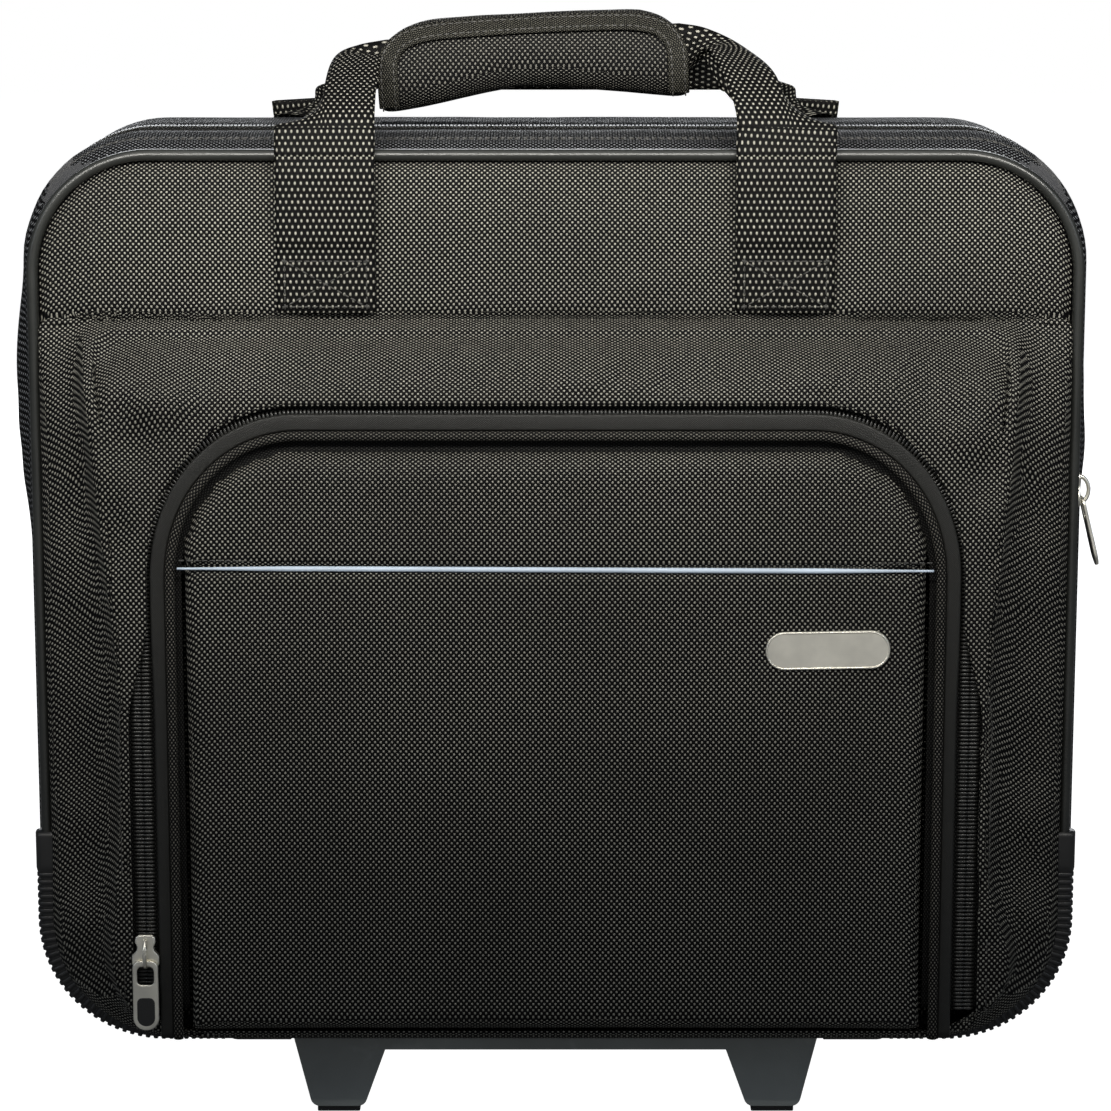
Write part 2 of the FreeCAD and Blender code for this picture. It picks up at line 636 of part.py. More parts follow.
def carry_handles():
    for side in (-1, 1):
        front, rear = size.front_strap_y, size.rear_strap_y
        sewn_strap(side_name("front_strap", side), side, size.front_strap_x,
                   (front - size.webbing_thick, front), (front - 0.5, size.face_front))
        cover_face = size.shell_back + size.cover_thick
        sewn_strap(side_name("rear_strap", side), side, size.rear_strap_x,
                   (rear - size.webbing_thick, rear), (cover_face, rear - size.webbing_thick + 0.5))
    grip_half = size.grip_long.number / 2
    fold_left = size.grip_x.number - grip_half - 1
    fold_right = size.grip_x.number + grip_half + 1
    keep(shape_of("front_handle_webbing", handle_loop(
        size.front_strap_x.number, size.front_strap_y.number, fold_left, fold_right,
        size.grip_y.number, size.grip_z.number, size.grip_tilt.number)), "front_handle_webbing")
    keep(shape_of("rear_handle_webbing", handle_loop(
        size.rear_strap_x.number, size.rear_strap_y.number, -size.rear_fold_x.number,
        size.rear_fold_x.number, size.rear_loop_y.number, size.rear_loop_z.number, 0.0)),
        "rear_handle_webbing")

    deep, high = size.grip_half_deep, size.grip_half_high
    channel_deep = size.fold_thick / 2 + size.fit_gap
    channel_high = size.fold_high / 2 + 1
    wrap = extrude("grip_wrap", "YZ", [
        round_box(-deep, deep, -high, high, deep - 1, deep - 1),
        round_box(-channel_deep, channel_deep, -channel_high, channel_high)],
        0, size.grip_long)
    wrap = keep(wrap, "grip_wrap")
    tilt = FreeCAD.Rotation(FreeCAD.Vector(0, 1, 0), -size.grip_tilt.number)
    start = FreeCAD.Vector(size.grip_x.number, size.grip_y.number, size.grip_z.number) \
        - tilt.multVec(FreeCAD.Vector(grip_half, 0, 0))
    wrap.setExpression("Placement.Base.x", None)
    wrap.Placement = FreeCAD.Placement(start, tilt)


# ---------------------------------------------------------------- base, stand and feet


def base():
    plate = block("base_plate_sheet", (-size.plate_half_width, size.plate_half_width),
                  (size.plate_front, size.plate_rear), (size.plate_bottom, size.plate_top))
    skids = [block(f"base_skid_{i}", (x - size.skid_wide / 2, x + size.skid_wide / 2),
                   (size.plate_front + size.skid_end, size.plate_rear - size.skid_end),
                   (size.plate_bottom - size.skid_drop, size.plate_bottom + 1))
             for i, x in enumerate((-size.skid_x, as_dim(0), size.skid_x))]
    keep(fuse("base_plate", plate, *skids), "base_plate")

    half, tip_out, tip_in = size.stand_half, size.foot_tip_outer, size.foot_tip_inner
    stand = extrude("front_stand", "XZ", [[
        corner(half, size.stand_top), corner(-half, size.stand_top),
        corner(-tip_out, size.pad_thick), corner(-tip_in, size.pad_thick),
        corner(-size.foot_inner, size.stand_bar_bottom),
        corner(size.foot_inner, size.stand_bar_bottom), corner(tip_in, size.pad_thick),
        corner(tip_out, size.pad_thick)]],
        size.stand_front + size.stand_deep, size.stand_deep)
    low = size.pad_thick.number + 0.5
    rounded(stand, lambda e: along(e, 1) and e.BoundBox.ZMax < low, size.foot_rounding)
    keep(stand, "front_stand")

    pads = [block(side_name("foot_pad", side), tuple(sorted(
        (size.pad_inner * side, size.pad_outer * side), key=lambda d: d.number)),
        (size.stand_front + size.pad_inset, size.stand_front + size.stand_deep - size.pad_inset),
        (0, size.pad_thick))
        for side in (-1, 1)]
    keep(fuse("foot_pads", *pads), "foot_pads")


def kick_plate():
    back = size.shell_back + size.cover_thick + size.fit_gap
    plate = extrude("kick_sheet", "XZ", [
        even_box(size.kick_half, size.kick_bottom, size.kick_top, size.kick_corner)],
        back + size.kick_thick, size.kick_thick)
    rib_face = back + size.kick_thick
    ribs = [block(f"kick_rib_{i}", (x - size.rib_wide / 2, x + size.rib_wide / 2),
                  (rib_face - 0.5, rib_face + size.rib_thick),
                  (size.kick_bottom + size.rib_end, size.kick_top - size.rib_end))
            for i, x in enumerate([size.kick_half * (k / 5) for k in (-4, -2, 0, 2, 4)])]
    keep(fuse("kick_plate", plate, *ribs), "kick_plate")
    heads = [rod(f"kick_screw_{i}", size.screw_radius, "y", rib_face + 0.1,
                 rib_face + 0.1 + size.screw_head, (size.kick_half * (k / 5), z))
             for i, (k, z) in enumerate((k, z) for k in (-3, 3)
                                        for z in (size.kick_bottom + size.screw_edge,
                                                  size.kick_top - size.screw_edge))]
    keep(fuse("base_screws", *heads), "base_screws")


# ---------------------------------------------------------------- wheels


def wheel(side):
    centre = size.wheel_x * side
    hub_at = (size.wheel_y, size.wheel_radius)

    def across(half):
        return centre - half, centre + half

    def disc(name, radius, half):
        return rod(name, radius, "x", *across(half), hub_at)

    left_or_right = side_name("", side)[1:]
    tyre = cut(f"tyre_{left_or_right}", disc(f"tyre_disc{side}", size.wheel_radius,
               size.wheel_wide / 2), disc(f"tyre_bore{side}", size.hub_radius + 0.1, 40))
    doc.recompute()
    rim = doc.addObject("Part::Fillet", f"tyre_round_{left_or_right}")
    rim.Base = tyre
    far = size.wheel_radius.number - 0.5
    rim.Edges = [(i, 3.0, 3.0) for i, e in enumerate(tyre.Shape.Edges, start=1)
                 if isinstance(e.Curve, Part.Circle) and e.Curve.Radius > far]
    keep(rim, f"tyre_{left_or_right}")

    recess = size.hub_wide / 2 - size.bearing_wide
    hub = cut(f"hub_{left_or_right}", disc(f"hub_disc{side}", size.hub_radius, size.hub_wide / 2),
              rod(f"hub_seat_a{side}", size.bearing_radius + size.press_gap, "x", centre + recess,
                  centre + 40, hub_at),
              rod(f"hub_seat_b{side}", size.bearing_radius + size.press_gap, "x", centre - 40,
                  centre - recess, hub_at),
              disc(f"hub_bore{side}", size.axle_radius + 1.5, 40),
              *[rod(f"hub_hole{side}_{k}", size.hub_hole_radius, "x", centre - 40, centre + 40,
                    (size.wheel_y + size.hub_hole_circle * math.cos(k * math.pi / 3),
                     size.wheel_radius + size.hub_hole_circle * math.sin(k * math.pi / 3)))
                for k in range(6)])
    keep(hub, f"hub_{left_or_right}")

    races = []
    for end, near in (("a", centre + recess + 0.1), ("b", centre - size.hub_wide / 2)):
        outer = rod(f"race_{end}{side}", size.bearing_radius, "x", near,
                    near + size.bearing_wide - 0.1, hub_at)
        races.append(cut(f"bearing_{end}{side}", outer, disc(
            f"race_bore_{end}{side}", size.axle_radius + size.running_gap, 40)))
    keep(fuse(f"bearings_{left_or_right}", *races), f"bearings_{left_or_right}")

    outside = size.housing_half
    inside = size.housing_half - size.cheek
    arch_cover = disc(f"housing_disc{side}", size.housing_radius, outside)
    cheeks = block(f"housing_legs{side}", across(outside),
                   (size.wheel_y - size.cheek_half, size.wheel_y + size.cheek_half),
                   (size.cheek_bottom, size.wheel_radius))
    below = block(f"housing_below{side}", across(60), (-50, 150),
                  (-50, size.wheel_radius + size.cover_rise))
    dome = cut(f"housing_dome{side}", arch_cover, below)
    flank = block(f"housing_flank{side}", across(outside),
                  (size.wheel_y - size.cheek_half, size.wheel_y + size.cheek_half),
                  (size.wheel_radius - 1, size.wheel_radius + size.cover_rise + 3))
    solid = fuse(f"housing_solid{side}", dome, cheeks, flank)
    hollow = disc(f"housing_hollow{side}", size.housing_radius - size.housing_wall, inside)
    slot = block(f"housing_slot{side}", across(inside), (-50, 150), (-50, size.wheel_radius + 1))
    bore = disc(f"housing_bore{side}", size.axle_radius + size.running_gap, 60)
    keep(cut(f"wheel_housing_{left_or_right}", solid, hollow, slot, bore),
         f"wheel_housing_{left_or_right}")
    shank = disc(f"axle_shank{side}", size.axle_radius, outside + 0.2)
    heads = [rod(f"axle_head_{k}{side}", size.axle_head_radius, "x", low, low + size.axle_head,
                 hub_at) for k, low in enumerate((centre + outside + 0.1,
                                                  centre - outside - 0.1 - size.axle_head))]
    return fuse(f"axle_{left_or_right}", shank, *heads)


# ---------------------------------------------------------------- telescopic handle


def tube(name, side, wide, deep, wall, bottom, top):
    """A flat-sided aluminium tube standing on the XY plane at one side of the handle."""
    x, y = size.tube_x * side, size.tube_y
    half, half_deep = wide / 2, deep / 2
    section = extrude(name, "XY", [
        round_box(x - half, x + half, y - half_deep, y + half_deep, 2, 2),
        round_box(x - half + wall, x + half - wall, y - half_deep + wall,
                  y + half_deep - wall, 0.8, 0.8)], bottom, top - bottom)
    return keep(section, name)


def tube_slot(name, side, wide, deep, low, high, gap):
    x, y = size.tube_x * side, size.tube_y
    return block(name, (x - wide / 2 - gap, x + wide / 2 + gap),
                 (y - deep / 2 - gap, y + deep / 2 + gap), (low, high))


def telescopic_handle():
    for side in (-1, 1):
        tube(side_name("outer_tube", side), side, size.outer_wide, size.outer_deep,
             size.outer_wall, size.outer_bottom, size.outer_top)
        tube(side_name("middle_tube", side), side, size.middle_wide, size.middle_deep,
             size.middle_wall, size.middle_bottom, size.middle_top)
        tube(side_name("inner_tube", side), side, size.inner_wide, size.inner_deep,
             size.inner_wall, size.inner_bottom, size.inner_top)

    reach = size.tube_x + size.outer_wide / 2 + size.bracket_end
    foot = block("bracket_block", (-reach, reach),
                 (size.inner_board_front + size.inner_board_thick + size.fit_gap,
                  size.shell_back - size.board_gap),
                 (size.shell_bottom + size.shell_wall + size.fit_gap,
                  size.outer_bottom + size.bracket_rise))
    seats = [tube_slot(f"bracket_seat{side}", side, size.outer_wide, size.outer_deep,
                       size.outer_bottom, 100, size.running_gap) for side in (-1, 1)]
    keep(cut("tube_bracket", foot, *seats), "tube_bracket")

    shell = block("bezel_block", (-size.bezel_half, size.bezel_half),
                  (size.bezel_front, size.bezel_rear), (size.bezel_bottom, size.bezel_top))
    cup = block("bezel_cup", (-size.cup_half, size.cup_half), (size.cup_front, size.cup_rear),
                (size.cup_floor, 500))
    holes = [tube_slot(f"bezel_hole{side}", side, size.middle_wide, size.middle_deep,
                       size.bezel_bottom - 5, size.cup_floor + 5, 0.35) for side in (-1, 1)]
    keep(cut("trolley_bezel", shell, cup, *holes), "trolley_bezel")
    screws = [rod(f"bezel_screw_{i}", size.screw_radius, "y", size.bezel_rear + 0.1,
                  size.bezel_rear + 0.1 + size.screw_head, (x, size.bezel_bottom + 14))
              for i, x in enumerate([size.bezel_half * k for k in (-0.82, -0.28, 0.28, 0.82)])]
    keep(fuse("bezel_screws", *screws), "bezel_screws")

    half = size.grip_bar_half
    bar = extrude("grip_bar", "YZ", [
        round_box(size.grip_bar_front, size.grip_bar_rear, size.grip_bar_bottom,
                  size.grip_bar_top, size.grip_bar_round, size.grip_bar_round)],
        -half, half * 2)
    sockets = [tube_slot(f"grip_socket{side}", side, size.inner_wide, size.inner_deep,
                         size.grip_bar_bottom - 5, size.inner_top + 0.1, 0.1)
               for side in (-1, 1)]
    y = size.tube_y + 4
    well_half = size.button_half + size.button_gap
    well_deep = size.button_deep / 2 + size.button_gap
    well = block("button_well", (-well_half, well_half), (y - well_deep, y + well_deep),
                 (size.grip_bar_top - size.button_well, 500))
    keep(cut("trolley_grip", bar, *sockets, well), "trolley_grip")
    button = extrude("button_cap", "XY", [
        round_box(-size.button_half, size.button_half, y - size.button_deep / 2,
                  y + size.button_deep / 2, 3, 3)],
        size.button_top - size.button_high, size.button_high)
    keep(button, "release_button")

    well_floor = size.grip_bar_top - size.button_well
    spring_room = size.button_top - size.button_high - well_floor - 0.6
    radius, wire = size.spring_radius.number, size.spring_wire.number
    helix = Part.makeHelix(size.spring_pitch.number, spring_room.number - 2 * wire, radius)
    ring = Part.Wire(Part.Circle(FreeCAD.Vector(radius, 0, 0), FreeCAD.Vector(0, 1, 0),
                                 wire).toShape())
    coil = Part.Wire(helix).makePipeShell([ring], True, True)
    spring = keep(shape_of("button_spring", coil), "button_spring")
    spring.Placement = FreeCAD.Placement(
        FreeCAD.Vector(0, y.number, well_floor.number + 0.3 + wire), FreeCAD.Rotation())


# ---------------------------------------------------------------- build, check and write

tub()
front_edge()
pocket()
sliders()
carry_handles()
base()
kick_plate()
keep(fuse("axles", wheel(-1), wheel(1)), "axles")
telescopic_handle()
doc.recompute()

faults = [thing.Label for thing in doc.Objects
          if {"Invalid", "Error"} & set(thing.State)]
for name, thing in pieces.items():
    if thing.Shape.isNull() or not thing.Shape.isValid() or not thing.Shape.Solids:
        faults.append(f"{name} has no valid shape")
if faults:
    raise SystemExit(f"the model did not build: {faults}")

os.makedirs("parts", exist_ok=True)
for old in os.listdir("parts"):
    os.remove(os.path.join("parts", old))
for name, thing in pieces.items():
    thing.Shape.exportStep(os.path.join("parts", f"{name}.step"))
print(len(pieces), "pieces written")
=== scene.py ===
import json
import math

import bmesh
import bpy
import numpy as np
from mathutils import Matrix, Vector


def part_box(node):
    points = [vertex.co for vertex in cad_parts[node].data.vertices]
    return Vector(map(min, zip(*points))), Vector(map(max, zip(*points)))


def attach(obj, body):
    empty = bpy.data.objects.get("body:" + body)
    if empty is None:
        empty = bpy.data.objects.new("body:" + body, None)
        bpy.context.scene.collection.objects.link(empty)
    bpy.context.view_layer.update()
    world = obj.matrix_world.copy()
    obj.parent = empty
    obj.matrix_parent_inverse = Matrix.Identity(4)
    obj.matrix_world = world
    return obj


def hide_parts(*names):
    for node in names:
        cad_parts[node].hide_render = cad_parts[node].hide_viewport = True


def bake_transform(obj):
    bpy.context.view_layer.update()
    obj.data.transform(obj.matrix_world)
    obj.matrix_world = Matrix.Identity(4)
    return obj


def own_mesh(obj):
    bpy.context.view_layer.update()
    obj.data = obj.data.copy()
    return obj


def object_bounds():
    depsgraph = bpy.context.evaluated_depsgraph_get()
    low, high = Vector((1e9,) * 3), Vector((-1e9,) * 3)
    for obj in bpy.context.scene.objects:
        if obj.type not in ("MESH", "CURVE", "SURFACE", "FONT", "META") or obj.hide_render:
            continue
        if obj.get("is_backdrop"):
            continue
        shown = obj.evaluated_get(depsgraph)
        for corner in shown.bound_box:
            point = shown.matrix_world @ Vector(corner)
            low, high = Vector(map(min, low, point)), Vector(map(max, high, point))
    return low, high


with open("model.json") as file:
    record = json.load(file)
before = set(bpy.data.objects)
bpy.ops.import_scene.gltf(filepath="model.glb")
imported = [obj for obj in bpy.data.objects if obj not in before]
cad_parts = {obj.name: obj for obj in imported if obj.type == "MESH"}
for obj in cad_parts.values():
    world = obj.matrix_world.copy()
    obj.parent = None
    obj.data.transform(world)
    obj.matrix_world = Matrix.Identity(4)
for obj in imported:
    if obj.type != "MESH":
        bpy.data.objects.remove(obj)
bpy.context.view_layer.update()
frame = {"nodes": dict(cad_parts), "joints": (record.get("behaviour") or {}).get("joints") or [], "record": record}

scene = bpy.context.scene


# ---- Camera, studio and floor ------------------------------------------------------------------
# The case stands on a pale floor in front of a white sweep. A long soft light in front, turned up so
# that its beam fades downwards, lights the top of the case; weak cool ones fill from both sides.

camera_data = bpy.data.cameras.new("camera")
camera_data.sensor_width = 36
camera_data.lens = 120.7
camera_data.clip_end = 50
camera = bpy.data.objects.new("camera", camera_data)
camera.location = (0, -1.564, 0.537)
camera.rotation_euler = (math.radians(90 - 11.13), 0, 0)
scene.collection.objects.link(camera)
scene.camera = camera
scene.view_settings.view_transform = "Standard"


def put(tree, kind, props=None, **feeds):
    """A shader node. Feeds are its inputs by name (_ for a space) or by number (i0, i1)."""
    made = tree.nodes.new(kind)
    for key, value in (props or {}).items():
        setattr(made, key, value)
    for key, value in feeds.items():
        number = key[0] == "i" and key[1:].isdigit()
        socket = made.inputs[int(key[1:]) if number else key.replace("_", " ")]
        if isinstance(value, bpy.types.NodeSocket):
            tree.links.new(value, socket)
        else:
            socket.default_value = value
    return made


world = bpy.data.worlds.new("studio")
world.use_nodes = True
scene.world = world
sky = world.node_tree
sky.nodes.clear()
seen = put(sky, "ShaderNodeLightPath")
shade = put(sky, "ShaderNodeMix", {"data_type": "RGBA"}, i0=seen.outputs["Is Camera Ray"],
            i6=(0.048, 0.055, 0.068, 1), i7=(1, 1, 1, 1))
glow = put(sky, "ShaderNodeBackground", Color=shade.outputs[2])
put(sky, "ShaderNodeOutputWorld", Surface=glow.outputs[0])


def softbox(name, place, target, wide, deep, power, colour):
    data = bpy.data.lights.new(name, "AREA")
    data.shape, data.size, data.size_y, data.energy = "RECTANGLE", wide, deep, power
    data.color = colour
    lamp = bpy.data.objects.new(name, data)
    lamp.location = place
    aim = Vector(target) - Vector(place)
    lamp.rotation_euler = aim.to_track_quat("-Z", "Y").to_euler()
    scene.collection.objects.link(lamp)


softbox("key_light", (0, -0.62, 0.68), (0, 0.17, 1.29), 1.2, 0.22, 30, (1, 0.97, 0.91))
softbox("top_light", (0, -0.50, 1.70), (0, -0.05, 0.30), 1.5, 0.6, 5, (1, 0.98, 0.95))
softbox("left_fill", (-1.5, -1.2, 0.9), (0, 0, 0.25), 0.35, 1.0, 4, (0.80, 0.89, 1))
softbox("right_fill", (1.5, -1.1, 0.9), (0, 0, 0.25), 0.35, 1.0, 4, (0.80, 0.89, 1))
softbox("low_card", (0, -1.15, 0.04), (0, -0.10, 0.30), 1.3, 0.30, 1.15, (1, 0.99, 0.96))
softbox("back_light", (0, 2.0, 0.45), (0, 0, 0.25), 1.4, 0.7, 18, (0.95, 0.97, 1))


def material(name):
    made = bpy.data.materials.new(name)
    made.use_nodes = True
    made.node_tree.nodes.clear()
    return made, made.node_tree


def finish_with(tree, **feeds):
    """The material's own Principled shader and output."""
    shader = put(tree, "ShaderNodeBsdfPrincipled", **feeds)
    put(tree, "ShaderNodeOutputMaterial", Surface=shader.outputs[0])


def calc(tree, operation, a, b=0.0):
    return put(tree, "ShaderNodeMath", {"operation": operation}, i0=a, i1=b).outputs[0]


floor_paint, tree = material("floor_paint")
place = put(tree, "ShaderNodeTexCoord")
cloud = put(tree, "ShaderNodeTexNoise", Vector=place.outputs["Object"], Scale=1.2)
tone = put(tree, "ShaderNodeMix", {"data_type": "RGBA"}, i0=cloud.outputs[0],
           i6=(0.33, 0.33, 0.33, 1), i7=(0.37, 0.37, 0.37, 1))
seen = put(tree, "ShaderNodeLightPath")
finish_with(tree, Base_Color=tone.outputs[2], Roughness=0.9, Emission_Color=(1, 1, 1, 1),
            Emission_Strength=calc(tree, "MULTIPLY", seen.outputs["Is Camera Ray"], 0.985))
mesh = bpy.data.meshes.new("floor")
mesh.from_pydata([(-6, -6, 0), (6, -6, 0), (6, 6, 0), (-6, 6, 0)], [], [(0, 1, 2, 3)])
floor = bpy.data.objects.new("floor", mesh)
floor.data.materials.append(floor_paint)
scene.collection.objects.link(floor)
floor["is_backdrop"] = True


# ---- Front panel's face ------------------------------------------------------------------------
# Ballistic nylon over thin foam on a stiff board. A seam across it, where the pocket's top edge is
# sewn in, divides a padded upper band from the flat field behind the pocket.


def blend_colour(tree, factor, low, high):
    return put(tree, "ShaderNodeMix", {"data_type": "RGBA"}, i0=factor, i6=low,
               i7=high).outputs[2]


def stretch(tree, value, low, high, to_low, to_high):
    return put(tree, "ShaderNodeMapRange", i0=value, i1=low, i2=high, i3=to_low,
               i4=to_high).outputs[0]


def group(name, takes, gives):
    """A shader group with named number or vector inputs and outputs."""
    made = bpy.data.node_groups.new(name, "ShaderNodeTree")
    for socket, kind in takes.items():
        made.interface.new_socket(socket, in_out="INPUT", socket_type=f"NodeSocket{kind}")
    for socket, kind in gives.items():
        made.interface.new_socket(socket, in_out="OUTPUT", socket_type=f"NodeSocket{kind}")
    return made, put(made, "NodeGroupInput"), put(made, "NodeGroupOutput")


# lays cloth coordinates, in metres, flat on whichever way a surface faces
cloth_lay, _, give = group("cloth_lay", {}, {"Across": "Float", "Along": "Float"})
where = put(cloth_lay, "ShaderNodeTexCoord")
spot = put(cloth_lay, "ShaderNodeSeparateXYZ", Vector=where.outputs["Object"])
facing = put(cloth_lay, "ShaderNodeSeparateXYZ", Vector=where.outputs["Normal"])
side_on = calc(cloth_lay, "GREATER_THAN", calc(cloth_lay, "ABSOLUTE", facing.outputs[0]), 0.72)
across = put(cloth_lay, "ShaderNodeMix", i0=side_on, i2=spot.outputs[0], i3=spot.outputs[1])
down = calc(cloth_lay, "LESS_THAN", facing.outputs[2], -0.35)
deeper = calc(cloth_lay, "MULTIPLY", spot.outputs[1],
              calc(cloth_lay, "SUBTRACT", 1.0, calc(cloth_lay, "MULTIPLY", down, 2.0)))
along = calc(cloth_lay, "ADD", spot.outputs[2], deeper)
cloth_lay.links.new(across.outputs[0], give.inputs[0])
cloth_lay.links.new(along, give.inputs[1])

# staggered floats of a plain basket weave: Thread is 1 on top of a float and 0 between them
weave, take, give = group(
    "weave", {"Across": "Float", "Along": "Float", "Pitch": "Float", "Rows": "Float",
              "Fullness": "Float", "Banding": "Float"}, {"Thread": "Float", "Height": "Float"})
turns = calc(weave, "DIVIDE", calc(weave, "MULTIPLY", take.outputs[0], math.tau),
             take.outputs[2])
lines = calc(weave, "DIVIDE", calc(weave, "MULTIPLY", take.outputs[1], math.pi),
             take.outputs[3])
check = calc(weave, "MULTIPLY", calc(weave, "COSINE", turns), calc(weave, "COSINE", lines))
banded = calc(weave, "POWER", calc(weave, "ABSOLUTE", calc(weave, "COSINE", lines)),
              take.outputs[5])
dome = calc(weave, "MULTIPLY", calc(weave, "MAXIMUM", check, 0.0), banded)
height = calc(weave, "POWER", dome, take.outputs[4])
thread = stretch(weave, dome, 0.16, 0.72, 0, 1)
weave.links.new(thread, give.inputs[0])
weave.links.new(height, give.inputs[1])

# slow cloudy change over a surface, for dust, fading and handling
patches, take, give = group("patches", {"Size": "Float", "Amount": "Float"},
                            {"Factor": "Float"})
where = put(patches, "ShaderNodeTexCoord")
grain = put(patches, "ShaderNodeTexNoise", Vector=where.outputs["Object"],
            Scale=calc(patches, "DIVIDE", 1.0, take.outputs[0]), Detail=3.0)
swing = calc(patches, "MULTIPLY", calc(patches, "SUBTRACT", grain.outputs[0], 0.5),
             take.outputs[1])
patches.links.new(calc(patches, "ADD", swing, 1.0), give.inputs[0])


def place_group(tree, which, **feeds):
    made = put(tree, "ShaderNodeGroup", {"node_tree": which})
    for key, value in feeds.items():
        if isinstance(value, bpy.types.NodeSocket):
            tree.links.new(value, made.inputs[key])
        else:
            made.inputs[key].default_value = value
    return made


def woven(name, dark, light, pitch, rows, relief, rough=(0.7, 0.42), on_uv=False, full=0.7,
          sheen=0.0, banding=0.0, shine=0.10):
    """A woven cloth: floats in a light colour that stands in for their sheen (painted sheen), over dark gaps
    painted as shade, with slow patches of wear.
    """
    made, tree = material(name)
    if on_uv:
        chart = put(tree, "ShaderNodeUVMap", {"uv_map": "cloth"})
        lay = put(tree, "ShaderNodeSeparateXYZ", Vector=chart.outputs[0])
    else:
        lay = place_group(tree, cloth_lay)
    cloth = place_group(tree, weave, Across=lay.outputs[0], Along=lay.outputs[1], Pitch=pitch,
                        Rows=rows, Fullness=full, Banding=banding)
    fade = place_group(tree, patches, Size=0.09, Amount=0.9)
    fuzz = place_group(tree, patches, Size=0.0016, Amount=0.7)
    top = put(tree, "ShaderNodeVectorMath", {"operation": "SCALE"}, i0=light,
              Scale=calc(tree, "MULTIPLY", fade.outputs[0], fuzz.outputs[0]))
    # painted sheen and shade: Thread gives the floats' tops the light colour and the gaps the dark one
    colour = blend_colour(tree, cloth.outputs["Thread"], (*dark, 1), top.outputs[0])
    bump = put(tree, "ShaderNodeBump", Strength=1.0, Distance=relief,
               Height=cloth.outputs["Height"])
    finish_with(tree, Base_Color=colour, Normal=bump.outputs[0], Sheen_Weight=sheen,
                Specular_IOR_Level=shine,
                Roughness=stretch(tree, cloth.outputs["Thread"], 0, 1, *rough))
    return made


# the nylon's weave: the pitch of its floats, the pitch of their rows, and their relief
NYLON_WEAVE = (0.00228, 0.00128, 0.0004)
# black nylon: the floats' warm grey is painted sheen; the near-black gaps are its own black and painted shade
nylon = woven("ballistic_nylon", (0.0015, 0.0015, 0.0018), (0.245, 0.238, 0.207), *NYLON_WEAVE)


def outline(half, low, high, low_round, high_round, step=0.004, closed=True):
    """Points (x, z) and outward directions round an upright shape with rounded corners.

    A shape is its half width, its low and high edges, and its lower and upper corners' radii.
    """
    turns = [(half - high_round, high - high_round, high_round, 0),
             (high_round - half, high - high_round, high_round, 90)]
    if closed:
        turns = [(half - low_round, low + low_round, low_round, -90), *turns,
                 (low_round - half, low + low_round, low_round, 180)]
    spots, ways = [], []
    for across, up, radius, first in turns:
        count = max(3, round(radius * math.pi / 2 / step))
        for angle in np.radians(first + 90 * np.arange(count + 1) / count):
            way = (math.cos(angle), math.sin(angle))
            spots.append((across + radius * way[0], up + radius * way[1]))
            ways.append(way)
    if closed:
        spots.append(spots[0])
        ways.append(ways[0])
    else:
        spots = [(half, low), *spots, (-half, low)]
        ways = [(1, 0), *ways, (-1, 0)]
    path, out = [], []
    for i in range(len(spots) - 1):
        gap = math.dist(spots[i], spots[i + 1])
        count = max(1, round(gap / step)) if gap > 1.5 * step else 1
        for k in range(count):
            share = k / count
            path.append(np.add(np.multiply(spots[i], 1 - share), np.multiply(spots[i + 1], share)))
            out.append(np.add(np.multiply(ways[i], 1 - share), np.multiply(ways[i + 1], share)))
    if not closed:
        path.append(spots[-1])
        out.append(ways[-1])
    out = np.array(out, float)
    return np.array(path, float), out / np.linalg.norm(out, axis=1)[:, None]


def close_up(obj):
    """Merges doubles and turns every face outwards."""
    work = bmesh.new()
    work.from_mesh(obj.data)
    bmesh.ops.remove_doubles(work, verts=work.verts, dist=1e-6)
    bmesh.ops.recalc_face_normals(work, faces=work.faces)
    work.to_mesh(obj.data)
    work.free()
    return obj


def lattice(name, points, finish, wrap_i=False, wrap_j=True):
    """A mesh from a grid of points [i][j], with a chart of its lengths in metres."""
    points = np.asarray(points, float)
    ni, nj = points.shape[:2]
    last_i, last_j = (ni if wrap_i else ni - 1), (nj if wrap_j else nj - 1)
    step_i = np.linalg.norm(np.roll(points, -1, 0) - points, axis=2).mean(1)
    step_j = np.linalg.norm(np.roll(points, -1, 1) - points, axis=2).mean(0)
    run_i = np.concatenate([[0], np.cumsum(step_i)])
    run_j = np.concatenate([[0], np.cumsum(step_j)])
    faces, chart = [], []
    for i in range(last_i):
        for j in range(last_j):
            square = [(i, j), (i + 1, j), (i + 1, j + 1), (i, j + 1)]
            faces.append([a % ni * nj + b % nj for a, b in square])
            chart.extend((run_j[b], run_i[a]) for a, b in square)
    if not wrap_i:
        for row in (0, ni - 1):
            faces.append([row * nj + j for j in range(nj)])
            chart.extend((run_j[j], run_i[row]) for j in range(nj))
    mesh = bpy.data.meshes.new(name)
    mesh.from_pydata(points.reshape(-1, 3).tolist(), [], faces)
    mesh.uv_layers.new(name="cloth").data.foreach_set("uv", np.ravel(chart))
    obj = bpy.data.objects.new(name, mesh)
    scene.collection.objects.link(obj)
    mesh.materials.append(finish)
    mesh.polygons.foreach_set("use_smooth", [True] * len(faces))
    return close_up(obj)


def inset(x, z, half, low, high, low_round, high_round):
    """How far a point lies inside such an outline, in metres."""
    upper = z > (low + high) / 2
    radius = np.where(upper, high_round, low_round)
    out_x = np.abs(x) - (half - radius)
    out_z = np.where(upper, z - (high - radius), low + radius - z)
    far = np.hypot(np.maximum(out_x, 0), np.maximum(out_z, 0))
    return radius - far - np.minimum(np.maximum(out_x, out_z), 0)


